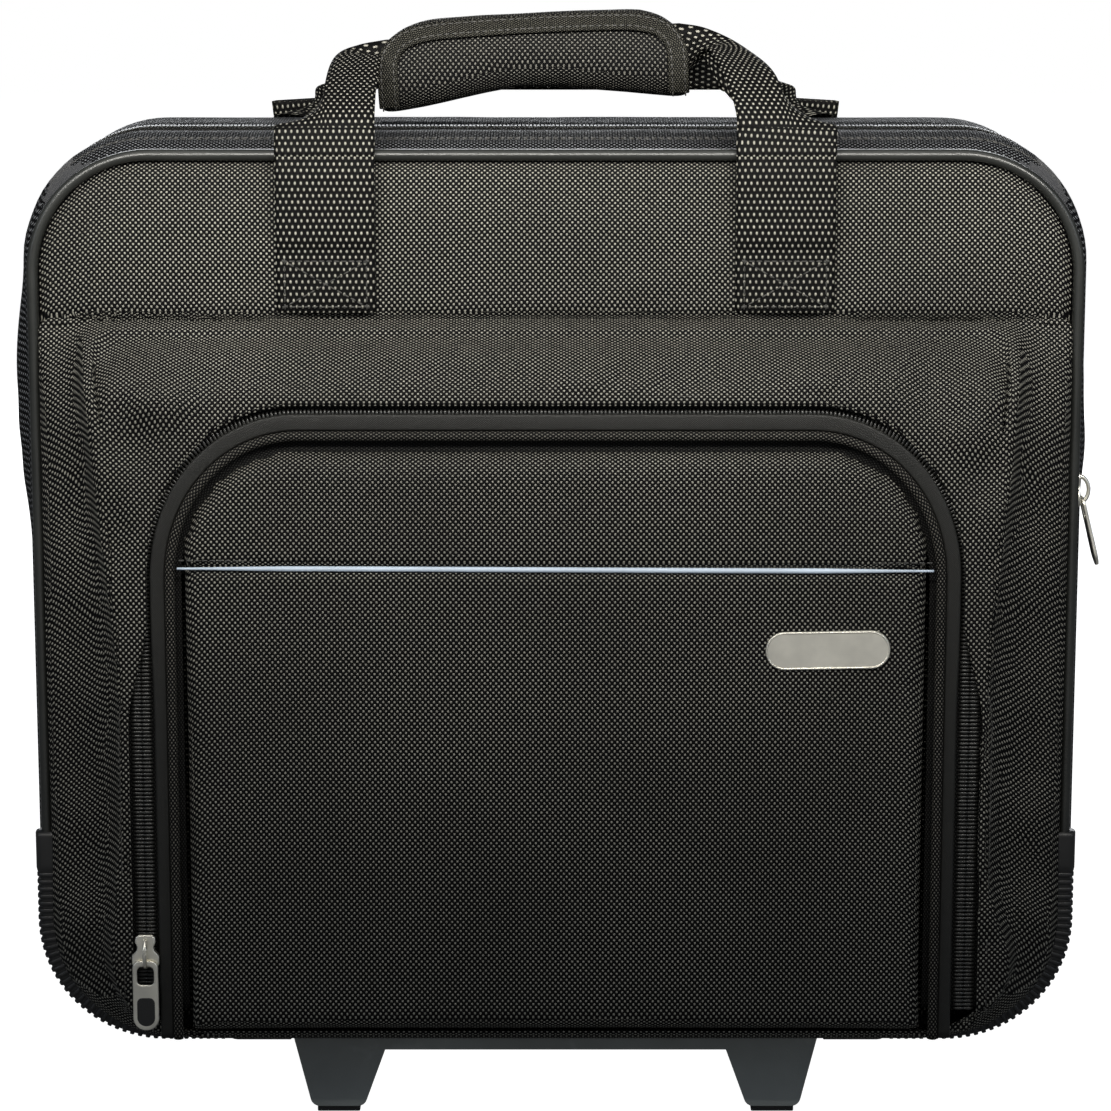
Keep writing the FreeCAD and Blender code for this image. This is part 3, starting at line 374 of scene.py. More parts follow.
def panel(name, shape, back, face, finish, rings=26, rim=0.010, step=0.005):
    """A closed padded panel: face(x, z, inset) gives the y of its outer face over a flat back."""
    path, out = outline(*shape, step=step)
    middle = np.array([0, (shape[1] + shape[2]) / 2])
    narrow = rim * np.array([0.03, 0.1, 0.2, 0.35, 0.55, 0.75, 1])
    levels = [path - out * d for d in narrow]
    core = levels[-1]
    for share in np.linspace(0, 1, rings)[1:]:
        levels.append(middle + (core - middle) * (1 - share * 0.998))
    rows = []
    for spots in (middle + (path - middle) * 0.002, path):
        rows.append(np.stack([spots[:, 0], np.full(len(path), back), spots[:, 1]], 1))
    for spots in levels:
        x, z = spots[:, 0], spots[:, 1]
        y = face(x, z, np.maximum(inset(x, z, *shape), 0))
        rows.append(np.stack([x, y, z], 1))
    return lattice(name, rows, finish)


def dip(value, centre, wide):
    return np.exp(-((value - centre) / wide) ** 2)


def ease(value, low, high):
    share = np.clip((value - low) / (high - low), 0, 1)
    return share * share * (3 - 2 * share)


def crumple(a, b, pitch, seed):
    """Smooth uneven folds between -1 and 1 over two coordinates, the same each run."""
    total = np.zeros(np.broadcast(a, b).shape)
    for k in range(5):
        turn = 2.4 * k + seed
        wave = math.tau / pitch * (0.6 + 0.27 * k)
        bend = 0.35 * pitch * np.sin((a - b) * wave * 0.37 + seed * 3 + k)
        total += np.sin((a * math.cos(turn) + b * math.sin(turn) + bend) * wave + 5 * seed) \
            / (1.2 + 0.5 * k)
    return total / 2.2


def fit(piece, body, stands_for=None):
    """Fixes a finished piece to its body; it may stand for a CAD node."""
    if stands_for:
        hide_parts(stands_for)
    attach(piece, body)
    return piece


# where the seam runs across, and the y of the cloth's face and of the board behind it
SEAM_Z, FACE_Y, BOARD_Y = 0.3385, -0.0662, -0.0602


def panel_face(x, z, d):
    edge = 0.0030 * (1 - ease(d, 0, 0.007)) ** 2
    roll = np.sqrt(1 - (1 - np.clip((z - SEAM_Z) / 0.008, 0, 1)) ** 2)
    band = roll * ease(d, 0.0, 0.026) * (1.25 - 0.45 * ease(z, 0.345, 0.395))
    strap = dip(np.abs(x), 0.0925, 0.030) ** 2
    slack = 0.0010 * crumple(x, z * 1.6, 0.11, 0.8)
    seam = 0.0026 * dip(z, SEAM_Z - 0.0006, 0.0015)
    return FACE_Y + edge - band * (0.0034 - 0.0016 * strap + slack) + seam


face_shape = (0.2094, 0.0421, 0.4039, 0.0459, 0.0459)
front_face = panel("front_panel_face", face_shape, BOARD_Y, panel_face, nylon, rings=60,
                   step=0.004)
fit(front_face, "front_panel", "front_board")


# ---- Front and rear piping ---------------------------------------------------------------------
# Extruded vinyl piping is sewn all round the front panel and round the back cover. The rear one
# stops at the wheel housings and at the pull handle's bezel.



def patchy(tree, colour, size, amount):
    """A colour with slow patches in it, and the patches' own factor."""
    scuff = place_group(tree, patches, Size=size, Amount=amount).outputs[0]
    tint = put(tree, "ShaderNodeVectorMath", {"operation": "SCALE"}, i0=colour, Scale=scuff)
    return tint.outputs[0], scuff


def grained(name, colour, grain, size, amount, strength, relief, rough, detail=2.0, even=False):
    """A fine grain under patches in the colour and, unless it is even, in the shine."""
    made, tree = material(name)
    place = put(tree, "ShaderNodeTexCoord")
    pores = put(tree, "ShaderNodeTexNoise", Vector=place.outputs["Object"], Scale=grain,
                Detail=detail)
    tint, scuff = patchy(tree, colour, size, amount)
    bump = put(tree, "ShaderNodeBump", Strength=strength, Distance=relief,
               Height=pores.outputs[0])
    finish_with(tree, Base_Color=tint, Normal=bump.outputs[0],
                Roughness=rough if even else calc(tree, "MULTIPLY", scuff, rough))
    return made


piping_vinyl = grained("piping_vinyl", (0.017, 0.018, 0.0165), 900.0, 0.03, 0.7, 0.35, 0.0002, 0.33)


def rounded_strip(inner, outer, front, back, radius, steps=4):
    """The section of a strip: (offset, y) corners rounded by up to half its size."""
    radius = min(radius, (outer - inner) / 2 - 1e-5, abs(back - front) / 2 - 1e-5)
    section = []
    for across, deep, first in ((outer - radius, back - radius, 0),
                                (inner + radius, back - radius, 90),
                                (inner + radius, front + radius, 180),
                                (outer - radius, front + radius, 270)):
        for angle in np.radians(first + 90 * np.arange(steps + 1) / steps):
            section.append((across + radius * math.cos(angle), deep + radius * math.sin(angle)))
    return np.array(section)


def swept(name, track, section, finish, closed=True):
    """A section (offset, y) carried round a track; section may change with each point of it."""
    path, out = track
    section = np.asarray(section, float)
    if section.ndim == 2:
        section = np.broadcast_to(section, (len(path), *section.shape))
    flat = path[:, None, :] + out[:, None, :] * section[:, :, :1]
    points = np.stack([flat[..., 0], section[..., 1], flat[..., 1]], -1)
    return lattice(name, points, finish, wrap_i=closed)


front_edge = (0.2116, 0.0399, 0.4061, 0.0481, 0.0481)
front_piping = swept("front_piping_bead", outline(*front_edge, step=0.003),
                     rounded_strip(-0.0022, 0.0022, -0.0679, -0.0605, 0.0022, 6), piping_vinyl)
fit(front_piping, "front_panel", "front_piping")


def cutter(low, high):
    """A plain box that a cut is made with; it doesn't stay in the scene."""
    mesh = bpy.data.meshes.new("cutter")
    corners = [(x, y, z) for x in (low[0], high[0]) for y in (low[1], high[1])
               for z in (low[2], high[2])]
    mesh.from_pydata(corners, [], [(0, 1, 3, 2), (4, 6, 7, 5), (0, 4, 5, 1), (2, 3, 7, 6),
                                   (0, 2, 6, 4), (1, 5, 7, 3)])
    made = bpy.data.objects.new("cutter", mesh)
    scene.collection.objects.link(made)
    return close_up(made)


def settle(obj):
    """Makes an object's modifiers part of its mesh."""
    graph = bpy.context.evaluated_depsgraph_get()
    graph.update()
    fresh = bpy.data.meshes.new_from_object(obj.evaluated_get(graph))
    obj.modifiers.clear()
    old, obj.data = obj.data, fresh
    bpy.data.meshes.remove(old)
    return obj


def leave_room(obj, rooms):
    """Cuts the room for the wheel housings and the handle's bezel out of a piece."""
    tools = []
    for low, high in rooms:
        tool = cutter(low, high)
        cut = obj.modifiers.new("room", "BOOLEAN")
        cut.operation, cut.object, cut.solver = "DIFFERENCE", tool, "EXACT"
        tools.append(tool)
    settle(obj)
    for tool in tools:
        bpy.data.objects.remove(tool)
    return obj


GAP, PAST_BACK = 3e-4, 0.13
rooms = []
for side in ("left", "right"):
    low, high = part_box(f"wheel_housing_{side}")
    rooms.append(((low.x - GAP, low.y - GAP, -0.01), (high.x + GAP, PAST_BACK, high.z + GAP)))
low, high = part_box("trolley_bezel")
rooms.append(((low.x - GAP, low.y - GAP, low.z - GAP), (high.x + GAP, PAST_BACK, 0.5)))

rear_piping = swept("rear_piping_bead", outline(0.2142, 0.0433, 0.4062, 0.0462, 0.0462),
                    rounded_strip(-0.0019, 0.0019, 0.0841, 0.0886, 0.0019, 5), piping_vinyl)
leave_room(rear_piping, rooms)
fit(rear_piping, "case", "rear_piping")


# ---- Corner guards -----------------------------------------------------------------------------
# Two moulded rubber guards wrap the piping at the lower corners: a smooth sleeve at each end, and
# ribs about 3 mm apart round the bend between them.

guard_rubber = grained("guard_rubber", (0.012, 0.012, 0.012), 1500.0, 0.012, 0.8, 0.4, 0.0002,
                       0.42, detail=3.0)


def guide(name, runs):
    """Lines of points, each with the direction that things set along it face."""
    spots, ways, edges = [], [], []
    for path, out in runs:
        edges += [(len(spots) + i, len(spots) + i + 1) for i in range(len(path) - 1)]
        spots += np.asarray(path).tolist()
        ways += np.asarray(out).tolist()
    mesh = bpy.data.meshes.new(name)
    mesh.from_pydata(spots, edges, [])
    mesh.attributes.new("out", "FLOAT_VECTOR", "POINT").data.foreach_set("vector",
                                                                         np.ravel(ways))
    made = bpy.data.objects.new(name, mesh)
    scene.collection.objects.link(made)
    return made


# sets copies of one small shape along a line, each turned to the line and facing outwards
set_along = bpy.data.node_groups.new("set_along", "GeometryNodeTree")
for label, kind in (("Line", "Geometry"), ("Shape", "Object"), ("Spacing", "Float"),
                    ("Finish", "Material")):
    set_along.interface.new_socket(label, in_out="INPUT", socket_type=f"NodeSocket{kind}")
set_along.interface.new_socket("Pieces", in_out="OUTPUT", socket_type="NodeSocketGeometry")
take = put(set_along, "NodeGroupInput")
wire = put(set_along, "GeometryNodeMeshToCurve", Mesh=take.outputs["Line"])
even = put(set_along, "GeometryNodeResampleCurve", {"mode": "LENGTH"},
           Curve=wire.outputs[0], Length=take.outputs["Spacing"])
heading = put(set_along, "GeometryNodeInputTangent")
facing = put(set_along, "GeometryNodeInputNamedAttribute", {"data_type": "FLOAT_VECTOR"},
             Name="out")
turned = put(set_along, "FunctionNodeAxesToRotation", {"primary_axis": "X",
                                                       "secondary_axis": "Z"},
             i0=heading.outputs[0], i1=facing.outputs[0])
shape = put(set_along, "GeometryNodeObjectInfo", Object=take.outputs["Shape"])
copies = put(set_along, "GeometryNodeInstanceOnPoints", Points=even.outputs[0],
             Instance=shape.outputs["Geometry"], Rotation=turned.outputs[0])
solid = put(set_along, "GeometryNodeRealizeInstances", Geometry=copies.outputs[0])
dyed = put(set_along, "GeometryNodeSetMaterial", Geometry=solid.outputs[0],
           Material=take.outputs["Finish"])
give = put(set_along, "NodeGroupOutput", Pieces=dyed.outputs[0])


def row_of(name, runs, shape, spacing, finish):
    """A plain mesh of copies of shape set along runs of (points, directions)."""
    line = guide(name, runs)
    maker = line.modifiers.new("set_along", "NODES")
    maker.node_group = set_along
    wanted = {"Shape": shape, "Spacing": spacing, "Finish": finish}
    for item in set_along.interface.items_tree:
        if item.in_out == "INPUT" and item.name in wanted:
            maker[item.identifier] = wanted[item.name]
    settle(line)
    line.data.materials.clear()
    line.data.materials.append(finish)
    line.data.polygons.foreach_set("use_smooth", [True] * len(line.data.polygons))
    return line


def bead(name, long, wide, high, shift=0.0):
    """A small rounded bar: long along X, wide along Y, high along Z, with few faces."""
    angles = math.tau * (np.arange(8) + 0.5) / 8
    loops = []
    for t, fat in ((-1, 0.442), (-0.72, 1), (0.72, 1), (1, 0.442)):
        loops.append(np.stack([np.full(8, t * long / 2),
                               shift + fat * wide / 2 * np.cos(angles) * 1.05,
                               fat * high / 2 * np.sin(angles) * 1.05], 1))
    return lattice(name, loops, guard_rubber)


def in_space(track, offset, y):
    """A flat track's points and directions, in space, at an offset and a depth."""
    path, out = track
    spots = path + out * offset
    depth = np.broadcast_to(y, len(path))
    return np.stack([spots[:, 0], depth, spots[:, 1]], 1)


def flat_out(track):
    return np.stack([track[1][:, 0], np.zeros(len(track[1])), track[1][:, 1]], 1)


def where_kept(track, kept):
    """The part of a track that a mask keeps, or the whole of it in another order."""
    return track[0][kept], track[1][kept]


corner_track = outline(*front_edge, step=0.0015)
rib_section = rounded_strip(-0.0049, 0.0049, -0.0044, 0.0048, 0.0028, 4)
rib = lattice("rib", [[(t, *spot * fat) for spot in rib_section]
                      for t, fat in ((-0.00095, 0.93), (-0.0006, 1), (0.0006, 1),
                                     (0.00095, 0.93))], guard_rubber)
for side, sign in (("left", -1), ("right", 1)):
    track = where_kept(corner_track, (corner_track[0][:, 0] * sign > 0.111)
                       & (corner_track[0][:, 1] < 0.126))
    track = where_kept(track, np.argsort(np.arctan2(track[0][:, 0] * sign - 0.1635,
                                                    -(track[0][:, 1] - 0.088))))
    run = np.concatenate([[0], np.cumsum(np.linalg.norm(np.diff(track[0], axis=0), axis=1))])
    smooth = 1 - ease(run, 0.023, 0.027) * ease(run[-1] - run, 0.015, 0.019)
    close = rounded_strip(-0.0048, 0.0035, -0.0690, -0.0608, 0.0024, 5)
    proud = rounded_strip(-0.0058, 0.0045, -0.0700, -0.0606, 0.0028, 5)
    section = close[None] + (proud - close)[None] * smooth[:, None, None]
    sleeve = swept(f"corner_guard_sleeve_{side}", track, section, guard_rubber, closed=False)
    ribbed = (run > 0.027) & (run < run[-1] - 0.018)
    bend = where_kept(track, ribbed)
    ribs = row_of(f"corner_guard_ribs_{side}", [(in_space(bend, -0.0006, -0.0651),
                  np.tile([0, -1, 0], (ribbed.sum(), 1)))], rib, 0.0031, guard_rubber)
    fit(sleeve, "front_panel", f"corner_guard_{side}")
    fit(ribs, "front_panel")
bpy.data.objects.remove(rib)


# ---- Patch pocket ------------------------------------------------------------------------------
# One nylon cloth makes the pocket's front; its sides and bottom fold back in loose pleats to the
# panel's edge, so the front can swell. Its arched mouth is edged by the zip.

left_fold = ([0.060, 0.067, 0.131, 0.200, 0.268, 0.3385], [0.1840, 0.1836, 0.1777, 0.1768,
                                                             0.1838, 0.1900])
right_fold = ([0.060, 0.078, 0.106, 0.180, 0.215, 0.248, 0.279, 0.3385],
              [0.1885, 0.1880, 0.1772, 0.1756, 0.1762, 0.1796, 0.1825, 0.1862])


def side_fold(x, z):
    """Where the pocket's side folds hang, as a half width at each height."""
    smooth = sum(np.where(x < 0, np.interp(z + d, *left_fold), np.interp(z + d, *right_fold))
                 for d in (-0.012, -0.006, 0, 0.006, 0.012))
    return smooth / 5


# how many steps an outline of the pocket takes on its sides, at its bends and on its top
SIDE_STEPS, BEND_STEPS, TOP_STEPS = 46, 16, 70


def pocket_ring(half, low, high, low_round, high_round):
    """An outline with the same number of points whatever its size, and its directions."""
    spots, ways = [], []
    straight = {-90: SIDE_STEPS, 0: TOP_STEPS, 90: SIDE_STEPS, 180: TOP_STEPS}
    turns = [(half - low_round, low + low_round, low_round, -90),
             (half - high_round, high - high_round, high_round, 0),
             (high_round - half, high - high_round, high_round, 90),
             (low_round - half, low + low_round, low_round, 180)]
    for n, (across, up, radius, first) in enumerate(turns):
        for angle in np.radians(first + 90 * np.arange(BEND_STEPS + 1) / BEND_STEPS):
            spots.append((across + radius * math.cos(angle), up + radius * math.sin(angle)))
            ways.append((math.cos(angle), math.sin(angle)))
        start, way = spots[-1], ways[-1]
        then_across, then_up, then_radius, _ = turns[(n + 1) % 4]
        stop = (then_across + then_radius * way[0], then_up + then_radius * way[1])
        for share in np.arange(1, straight[first]) / straight[first]:
            spots.append(tuple(np.multiply(start, 1 - share) + np.multiply(stop, share)))
            ways.append(way)
    return np.array(spots), np.array(ways)


def front_depth(z):
    """The pocket front's y at each height: upright below, curving back into the seam above."""
    share = np.clip((z - 0.3105) / 0.0280, 0, 1)
    return -0.0955 + 0.0271 * share ** 1.7 + 0.0050 * (1 - ease(z, 0.0475, 0.0620))


MOUTH_CLOSES = (0.176, 0.225)


def mouth_offset(spots, ways):
    """How far outside the zip's line the mouth lies: clear of the coil low down, over it above."""
    return ((0.0052 - 0.0086 * ease(spots[:, 1], *MOUTH_CLOSES)) * ways[:, 0] ** 2
            + 0.0060 * np.maximum(ways[:, 1], 0) ** 2)


# each row: half width, low, high, low corner, high corner, and how far forward it hangs, 0 to 1
pleats = [(0.2086, 0.0425, 0.3392, 0.0455, 0.0040, 0.00),
          (0.2080, 0.0425, 0.3391, 0.0455, 0.0040, 0.12),
          (0.2052, 0.0420, 0.3389, 0.0450, 0.0042, 0.24),
          (0.2008, 0.0420, 0.3387, 0.0440, 0.0044, 0.33),
          (0.1962, 0.0424, 0.3385, 0.0430, 0.0046, 0.42),
          (0.1925, 0.0430, 0.3382, 0.0420, 0.0050, 0.55),
          (0.1905, 0.0436, 0.3378, 0.0410, 0.0054, 0.72),
          (0.1897, 0.0442, 0.3373, 0.0400, 0.0060, 0.86),
          (0.1888, 0.0450, 0.3366, 0.0395, 0.0070, 0.95),
          (0.1872, 0.0462, 0.3356, 0.0390, 0.0085, 1.00)]
ROOT_Y = -0.0655
rows = []
for k, (half, low, high, low_round, high_round, forward) in enumerate(pleats):
    spots, ways = pocket_ring(half, low, high, low_round, high_round)
    beside = ways[:, 0] ** 2
    below = np.clip(-ways[:, 1], 0, 1) ** 2
    hang = ease(k, 2.5, 7.5) if k < 8 else 1.0
    pull = side_fold(spots[:, 0], spots[:, 1]) / 0.1895
    spots[:, 0] *= 1 + (pull - 1) * hang
    forward = forward + (math.sqrt(forward) - forward) * below
    y = ROOT_Y + forward * (front_depth(spots[:, 1]) - ROOT_Y)
    fold = crumple(spots[:, 1] * 0.75 + y, spots[:, 1] * 0.5 - 2.2 * y, 0.042, 1.7)
    fine = crumple(spots[:, 1], 3 * y, 0.016, 0.6)
    crease = beside * math.sin(math.pi * min(max((k - 0.5) / 7, 0), 1))
    pleat_low = dip(spots[:, 1], 0.092, 0.014) + dip(spots[:, 1], 0.300, 0.012)
    y = y - crease * (0.0038 * fold + 0.0010 * fine + 0.0030 * pleat_low)
    spots[:, 0] *= 1 - crease * 0.010 * fold
    rows.append((spots, y))
last, last_y = rows[-1]
# the zip's line: an arch, given by its half width, its top and its upper corners' radius
ARCH_HALF, ARCH_TOP, ARCH_ROUND = 0.168, 0.303, 0.065
end, end_ways = pocket_ring(ARCH_HALF, 0.0470, ARCH_TOP, 0.0060, ARCH_ROUND)
end += end_ways * mouth_offset(end, end_ways)[:, None]
for share in np.linspace(0, 1, 18)[1:]:
    spots = last * (1 - share) + end * share
    near = ease(share, 0, 0.3)
    rows.append((spots, last_y * (1 - near) + front_depth(spots[:, 1]) * near))


def pocket_slack(x, z):
    """Broad soft hollows in the pocket's front, deepest round the arch's upper corners."""
    above = ease(z, 0.285, 0.312) * (1 - ease(z, 0.329, 0.337))
    corner = dip(np.abs(x), 0.160, 0.036) * dip(z, 0.300, 0.036)
    side = ease(np.abs(x), 0.168, 0.180)
    turn = np.arctan2(z - 0.235, np.abs(x) - 0.110)
    ray = np.sin(13 * turn + np.sign(x) + 25 * np.hypot(z - 0.235, np.abs(x) - 0.110))
    return (0.0026 * above * crumple(x * 1.2, z * 1.4, 0.052, 2.1)
            + 0.0026 * corner * ray + 0.0022 * side * crumple(x, z, 0.050, 3.4))


points = []
for k, (spots, y) in enumerate(rows):
    slack = pocket_slack(spots[:, 0], spots[:, 1]) * ease(k, 7, 12) * (1 - ease(k, 20, 24))
    points.append(np.stack([spots[:, 0], y - slack, spots[:, 1]], 1))
pocket_body = lattice("patch_pocket", np.array(points).transpose(1, 0, 2), nylon, wrap_i=True,
                      wrap_j=False)
for face in pocket_body.data.polygons:
    if face.normal.y > 0.3:
        pocket_body.data.flip_normals()
        break
wall = pocket_body.modifiers.new("wall", "SOLIDIFY")
wall.thickness, wall.offset = 0.0012, -1
settle(pocket_body)
fit(pocket_body, "front_panel", "pocket_frame")


# ---- Pocket zip --------------------------------------------------------------------------------
# A No. 8 coil zip on woven tape follows the arch. The pocket keeps its outer half and the flap its
# inner half. Cloth lips hide the coil over the top and leave it open beside the flap's lower half.

zip_tape = woven("zip_tape", (0.003, 0.003, 0.003), (0.030, 0.030, 0.028), 0.0012, 0.0010,
                 0.0002, on_uv=True)
lip_satin = woven("lip_satin", (0.006, 0.006, 0.0055), (0.024, 0.024, 0.020), 0.0007, 0.0005,
                  0.00008, rough=(0.5, 0.34), on_uv=True, shine=0.35)
coil_nylon = grained("coil_nylon", (0.026, 0.026, 0.024), 2500.0, 0.008, 0.9, 0.2, 0.0001, 0.3,
                     even=True)

arch_track = outline(ARCH_HALF, 0.0455, ARCH_TOP, 0, ARCH_ROUND, step=0.003, closed=False)
arch_path, arch_out = arch_track
upward = arch_out[:, 1] ** 2


def lip(name, low, high, front, back, finish, body, stands_for=None,
        track=arch_track):
    """A strip along the zip between two offsets, which may change along it."""
    low, high = (np.broadcast_to(edge, len(track[0]))[:, None] for edge in (low, high))
    plain = rounded_strip(0, 0.005, front, back, 0.0008)
    section = np.stack(np.broadcast_arrays(low + (high - low) * plain[:, 0] / 0.005, plain[:, 1]),
                       -1)
    return fit(swept(name, track, section, finish, closed=False), body, stands_for)


def coil_half(name, spots, ways, shift, body, wide=0.0044):
    """One side of a coil: small loops in a row, shifted to their own side of the zip's line."""
    tooth = bead(f"{name}_loop", 0.00105, wide, 0.0010, shift)
    coil = row_of(name, [(spots, ways)], tooth, 0.0016, coil_nylon)
    bpy.data.objects.remove(tooth)
    fit(coil, body)


TAPE_FRONT, TAPE_BACK, COIL_Y = -0.0928, -0.0921, -0.0934
COIL_LOW = 0.0575
coil_track = where_kept(arch_track, arch_path[:, 1] > COIL_LOW)
to_front = np.tile([0, -1, 0], (len(coil_track[0]), 1))
for part, sign, low, high, body in (("pocket", -1, 0.0004, 0.0068, "front_panel"),
                                    ("flap", 1, -0.0172, -0.0008, "pocket_flap")):
    lip(f"{part}_zip_tape", low, high, TAPE_FRONT, TAPE_BACK, zip_tape, body,
        f"{part}_zip", coil_track)
    coil_half(f"{part}_zip_coil", in_space(coil_track, 0, COIL_Y), to_front, sign * 0.0019, body,
              wide=0.0046)


# ---- Pocket flap -------------------------------------------------------------------------------
# A foam-padded nylon panel. Round it run a satin welt and a cord in woven cloth, and one seam
# across it holds a thin light piping with a row of stitches above.

ACCENT_Z, ACCENT_Y = 0.243, -0.0996
FLAP_FACE, FLAP_BACK = -0.0978, -0.0925
flap_shape = (0.1527, 0.0455, 0.2930, 0.0060, 0.0497)


def flap_face(x, z, d):
    edge = 0.0048 * (1 - ease(d, 0, 0.0075)) ** 2
    swell = 0.0010 * ease(d, 0.004, 0.050)
    return FLAP_FACE + edge - swell - 0.0004 * crumple(x, z, 0.16, 4.2)


PUFF_PRESSURE, PUFF_FRAMES = 4.0, 20


def inflate(obj, cap, voxel):
    """Puffs a closed pad as foam under cloth does; no point moves further than cap."""
    grid = obj.modifiers.new("grid", "REMESH")
    grid.mode, grid.voxel_size = "VOXEL", voxel
    settle(obj)
    start = np.array([v.co for v in obj.data.vertices])
    cloth = obj.modifiers.new("cloth", "CLOTH")
    cloth.settings.use_pressure = True
    cloth.settings.uniform_pressure_force = PUFF_PRESSURE
    cloth.settings.effector_weights.gravity = 0
    cloth.settings.quality = 5
    cloth.point_cache.frame_start, cloth.point_cache.frame_end = 1, PUFF_FRAMES
    for number in range(1, PUFF_FRAMES + 1):
        scene.frame_set(number)
    settle(obj)
    moved = np.array([v.co for v in obj.data.vertices]) - start
    far = np.linalg.norm(moved, axis=1)
    moved *= (np.minimum(far, cap) / np.maximum(far, 1e-9))[:, None]
    obj.data.vertices.foreach_set("co", np.ravel(start + moved))
    smooth = obj.modifiers.new("smooth", "SUBSURF")
    smooth.levels = smooth.render_levels = 1
    settle(obj)
    scene.frame_set(1)
    obj.data.polygons.foreach_set("use_smooth", [True] * len(obj.data.polygons))
    return obj


def accent_height(x):
    return ACCENT_Z + 0.0005 * np.cos((x + 0.153) / 0.306 * math.pi)


flap = panel("flap_panel_pad", flap_shape, FLAP_BACK, flap_face, nylon, rings=46, rim=0.0055,
             step=0.003)
inflate(flap, 0.0016, 0.0032)
# the accent's seam pulls a groove into the pad's face
co = np.array([v.co for v in flap.data.vertices])
co[:, 1] += np.where(co[:, 1] < -0.0945, 0.0020 * dip(co[:, 2], accent_height(co[:, 0]), 0.0021), 0)
flap.data.vertices.foreach_set("co", np.ravel(co))
flap.data.update()
fit(flap, "pocket_flap", "flap_panel")

lip("flap_welt_satin", -0.0108 + 0.0066 * upward,
    -0.0055 + 0.0008 * ease(arch_path[:, 1], *MOUTH_CLOSES) + 0.0072 * upward, -0.0961,
    FLAP_BACK, lip_satin, "pocket_flap", stands_for="flap_welt")
cord_cloth = woven("cord_cloth", (0.003, 0.003, 0.003), (0.110, 0.104, 0.090), 0.0016, 0.0011,
                   0.0003, on_uv=True)
angles = math.tau * np.arange(16) / 16
cord_line = (-0.0128 + 0.0066 * upward)[:, None]
cord_section = np.stack(np.broadcast_arrays(cord_line + 0.0020 * np.cos(angles),
                                            -0.0964 + 0.0020 * np.sin(angles)), -1)
fit(swept("flap_welt_cord", arch_track, cord_section, cord_cloth, closed=False),
    "pocket_flap")

accent_satin, tree = material("accent_satin")
chart = put(tree, "ShaderNodeUVMap", {"uv_map": "cloth"})
lines = put(tree, "ShaderNodeTexNoise", Vector=chart.outputs[0], Scale=1800.0)
tint, _ = patchy(tree, (0.46, 0.54, 0.64), 0.05, 1.1)
bump = put(tree, "ShaderNodeBump", Strength=0.3, Distance=0.0002, Height=lines.outputs[0])
finish_with(tree, Base_Color=tint, Normal=bump.outputs[0], Roughness=0.38)


def tube(name, spots, radius, finish, sides=12):
    """A round tube through points in space; radius may be a list, one for each point."""
    spots = np.asarray(spots, float)
    way = np.gradient(spots, axis=0)
    way /= np.linalg.norm(way, axis=1)[:, None]
    across = np.cross(way, [0.0, 0.31, 0.95])
    across /= np.linalg.norm(across, axis=1)[:, None]
    other = np.cross(way, across)
    angles = math.tau * np.arange(sides) / sides
    radius = np.broadcast_to(radius, len(spots))[:, None, None]
    ring = across[:, None] * np.cos(angles)[:, None] + other[:, None] * np.sin(angles)[:, None]
    return lattice(name, spots[:, None] + ring * radius, finish)


ACCENT_HALF = 0.1518
x = np.linspace(-ACCENT_HALF, ACCENT_HALF, 160)
slim = 0.00050 + 0.00060 * ease(ACCENT_HALF - np.abs(x), 0, 0.050)
accent = tube("accent_piping_bead", np.stack([x, np.full(160, ACCENT_Y), accent_height(x)], 1),
              slim, accent_satin)
fit(accent, "pocket_flap", "accent_piping")

thread, tree = material("sewing_thread")
place = put(tree, "ShaderNodeTexCoord")
twist = put(tree, "ShaderNodeTexNoise", Vector=place.outputs["Object"], Scale=4000.0)
tint = blend_colour(tree, twist.outputs[0], (0.010, 0.010, 0.010, 1), (0.060, 0.058, 0.052, 1))
finish_with(tree, Base_Color=tint, Roughness=0.5)
stitch = bead("stitch", 0.0023, 0.0006, 0.0005)


def stitched(name, runs, body, spacing=0.0031):
    return fit(row_of(name, runs, stitch, spacing, thread), body)


x = np.linspace(-0.150, 0.150, 40)
stitched("accent_stitches", [(np.stack([x, np.full(40, ACCENT_Y), accent_height(x) + 0.0033], 1),
                              np.tile([0, -1, 0], (40, 1)))], "pocket_flap")
edge_line = mouth_offset(*coil_track)[:, None] + 0.0038
stitched("mouth_stitches", [(in_space(coil_track, edge_line, -0.0960), to_front)], "front_panel")


# ---- Badge -------------------------------------------------------------------------------------
# A blank pill-shaped plate of satin nickel with a raised rim, held to the flap by two prongs.


def metal(name, colour, rough, brush):
    """Plated metal: fine brushing along X and slow patches in its shine."""
    made, tree = material(name)
    place = put(tree, "ShaderNodeTexCoord")
    long = put(tree, "ShaderNodeMapping", Vector=place.outputs["Object"], Scale=(60, 900, 900))
    scratch = put(tree, "ShaderNodeTexNoise", Vector=long.outputs[0], Scale=2.0, Detail=3.0)
    tint, haze = patchy(tree, colour, 0.012, 0.5)
    bump = put(tree, "ShaderNodeBump", Strength=brush, Distance=0.00006,
               Height=scratch.outputs[0])
    finish_with(tree, Base_Color=tint, Metallic=1.0, Normal=bump.outputs[0],
                Roughness=calc(tree, "MULTIPLY", haze, rough))
    return made


nickel = metal("satin_nickel", (0.90, 0.87, 0.77), 0.38, 0.35)


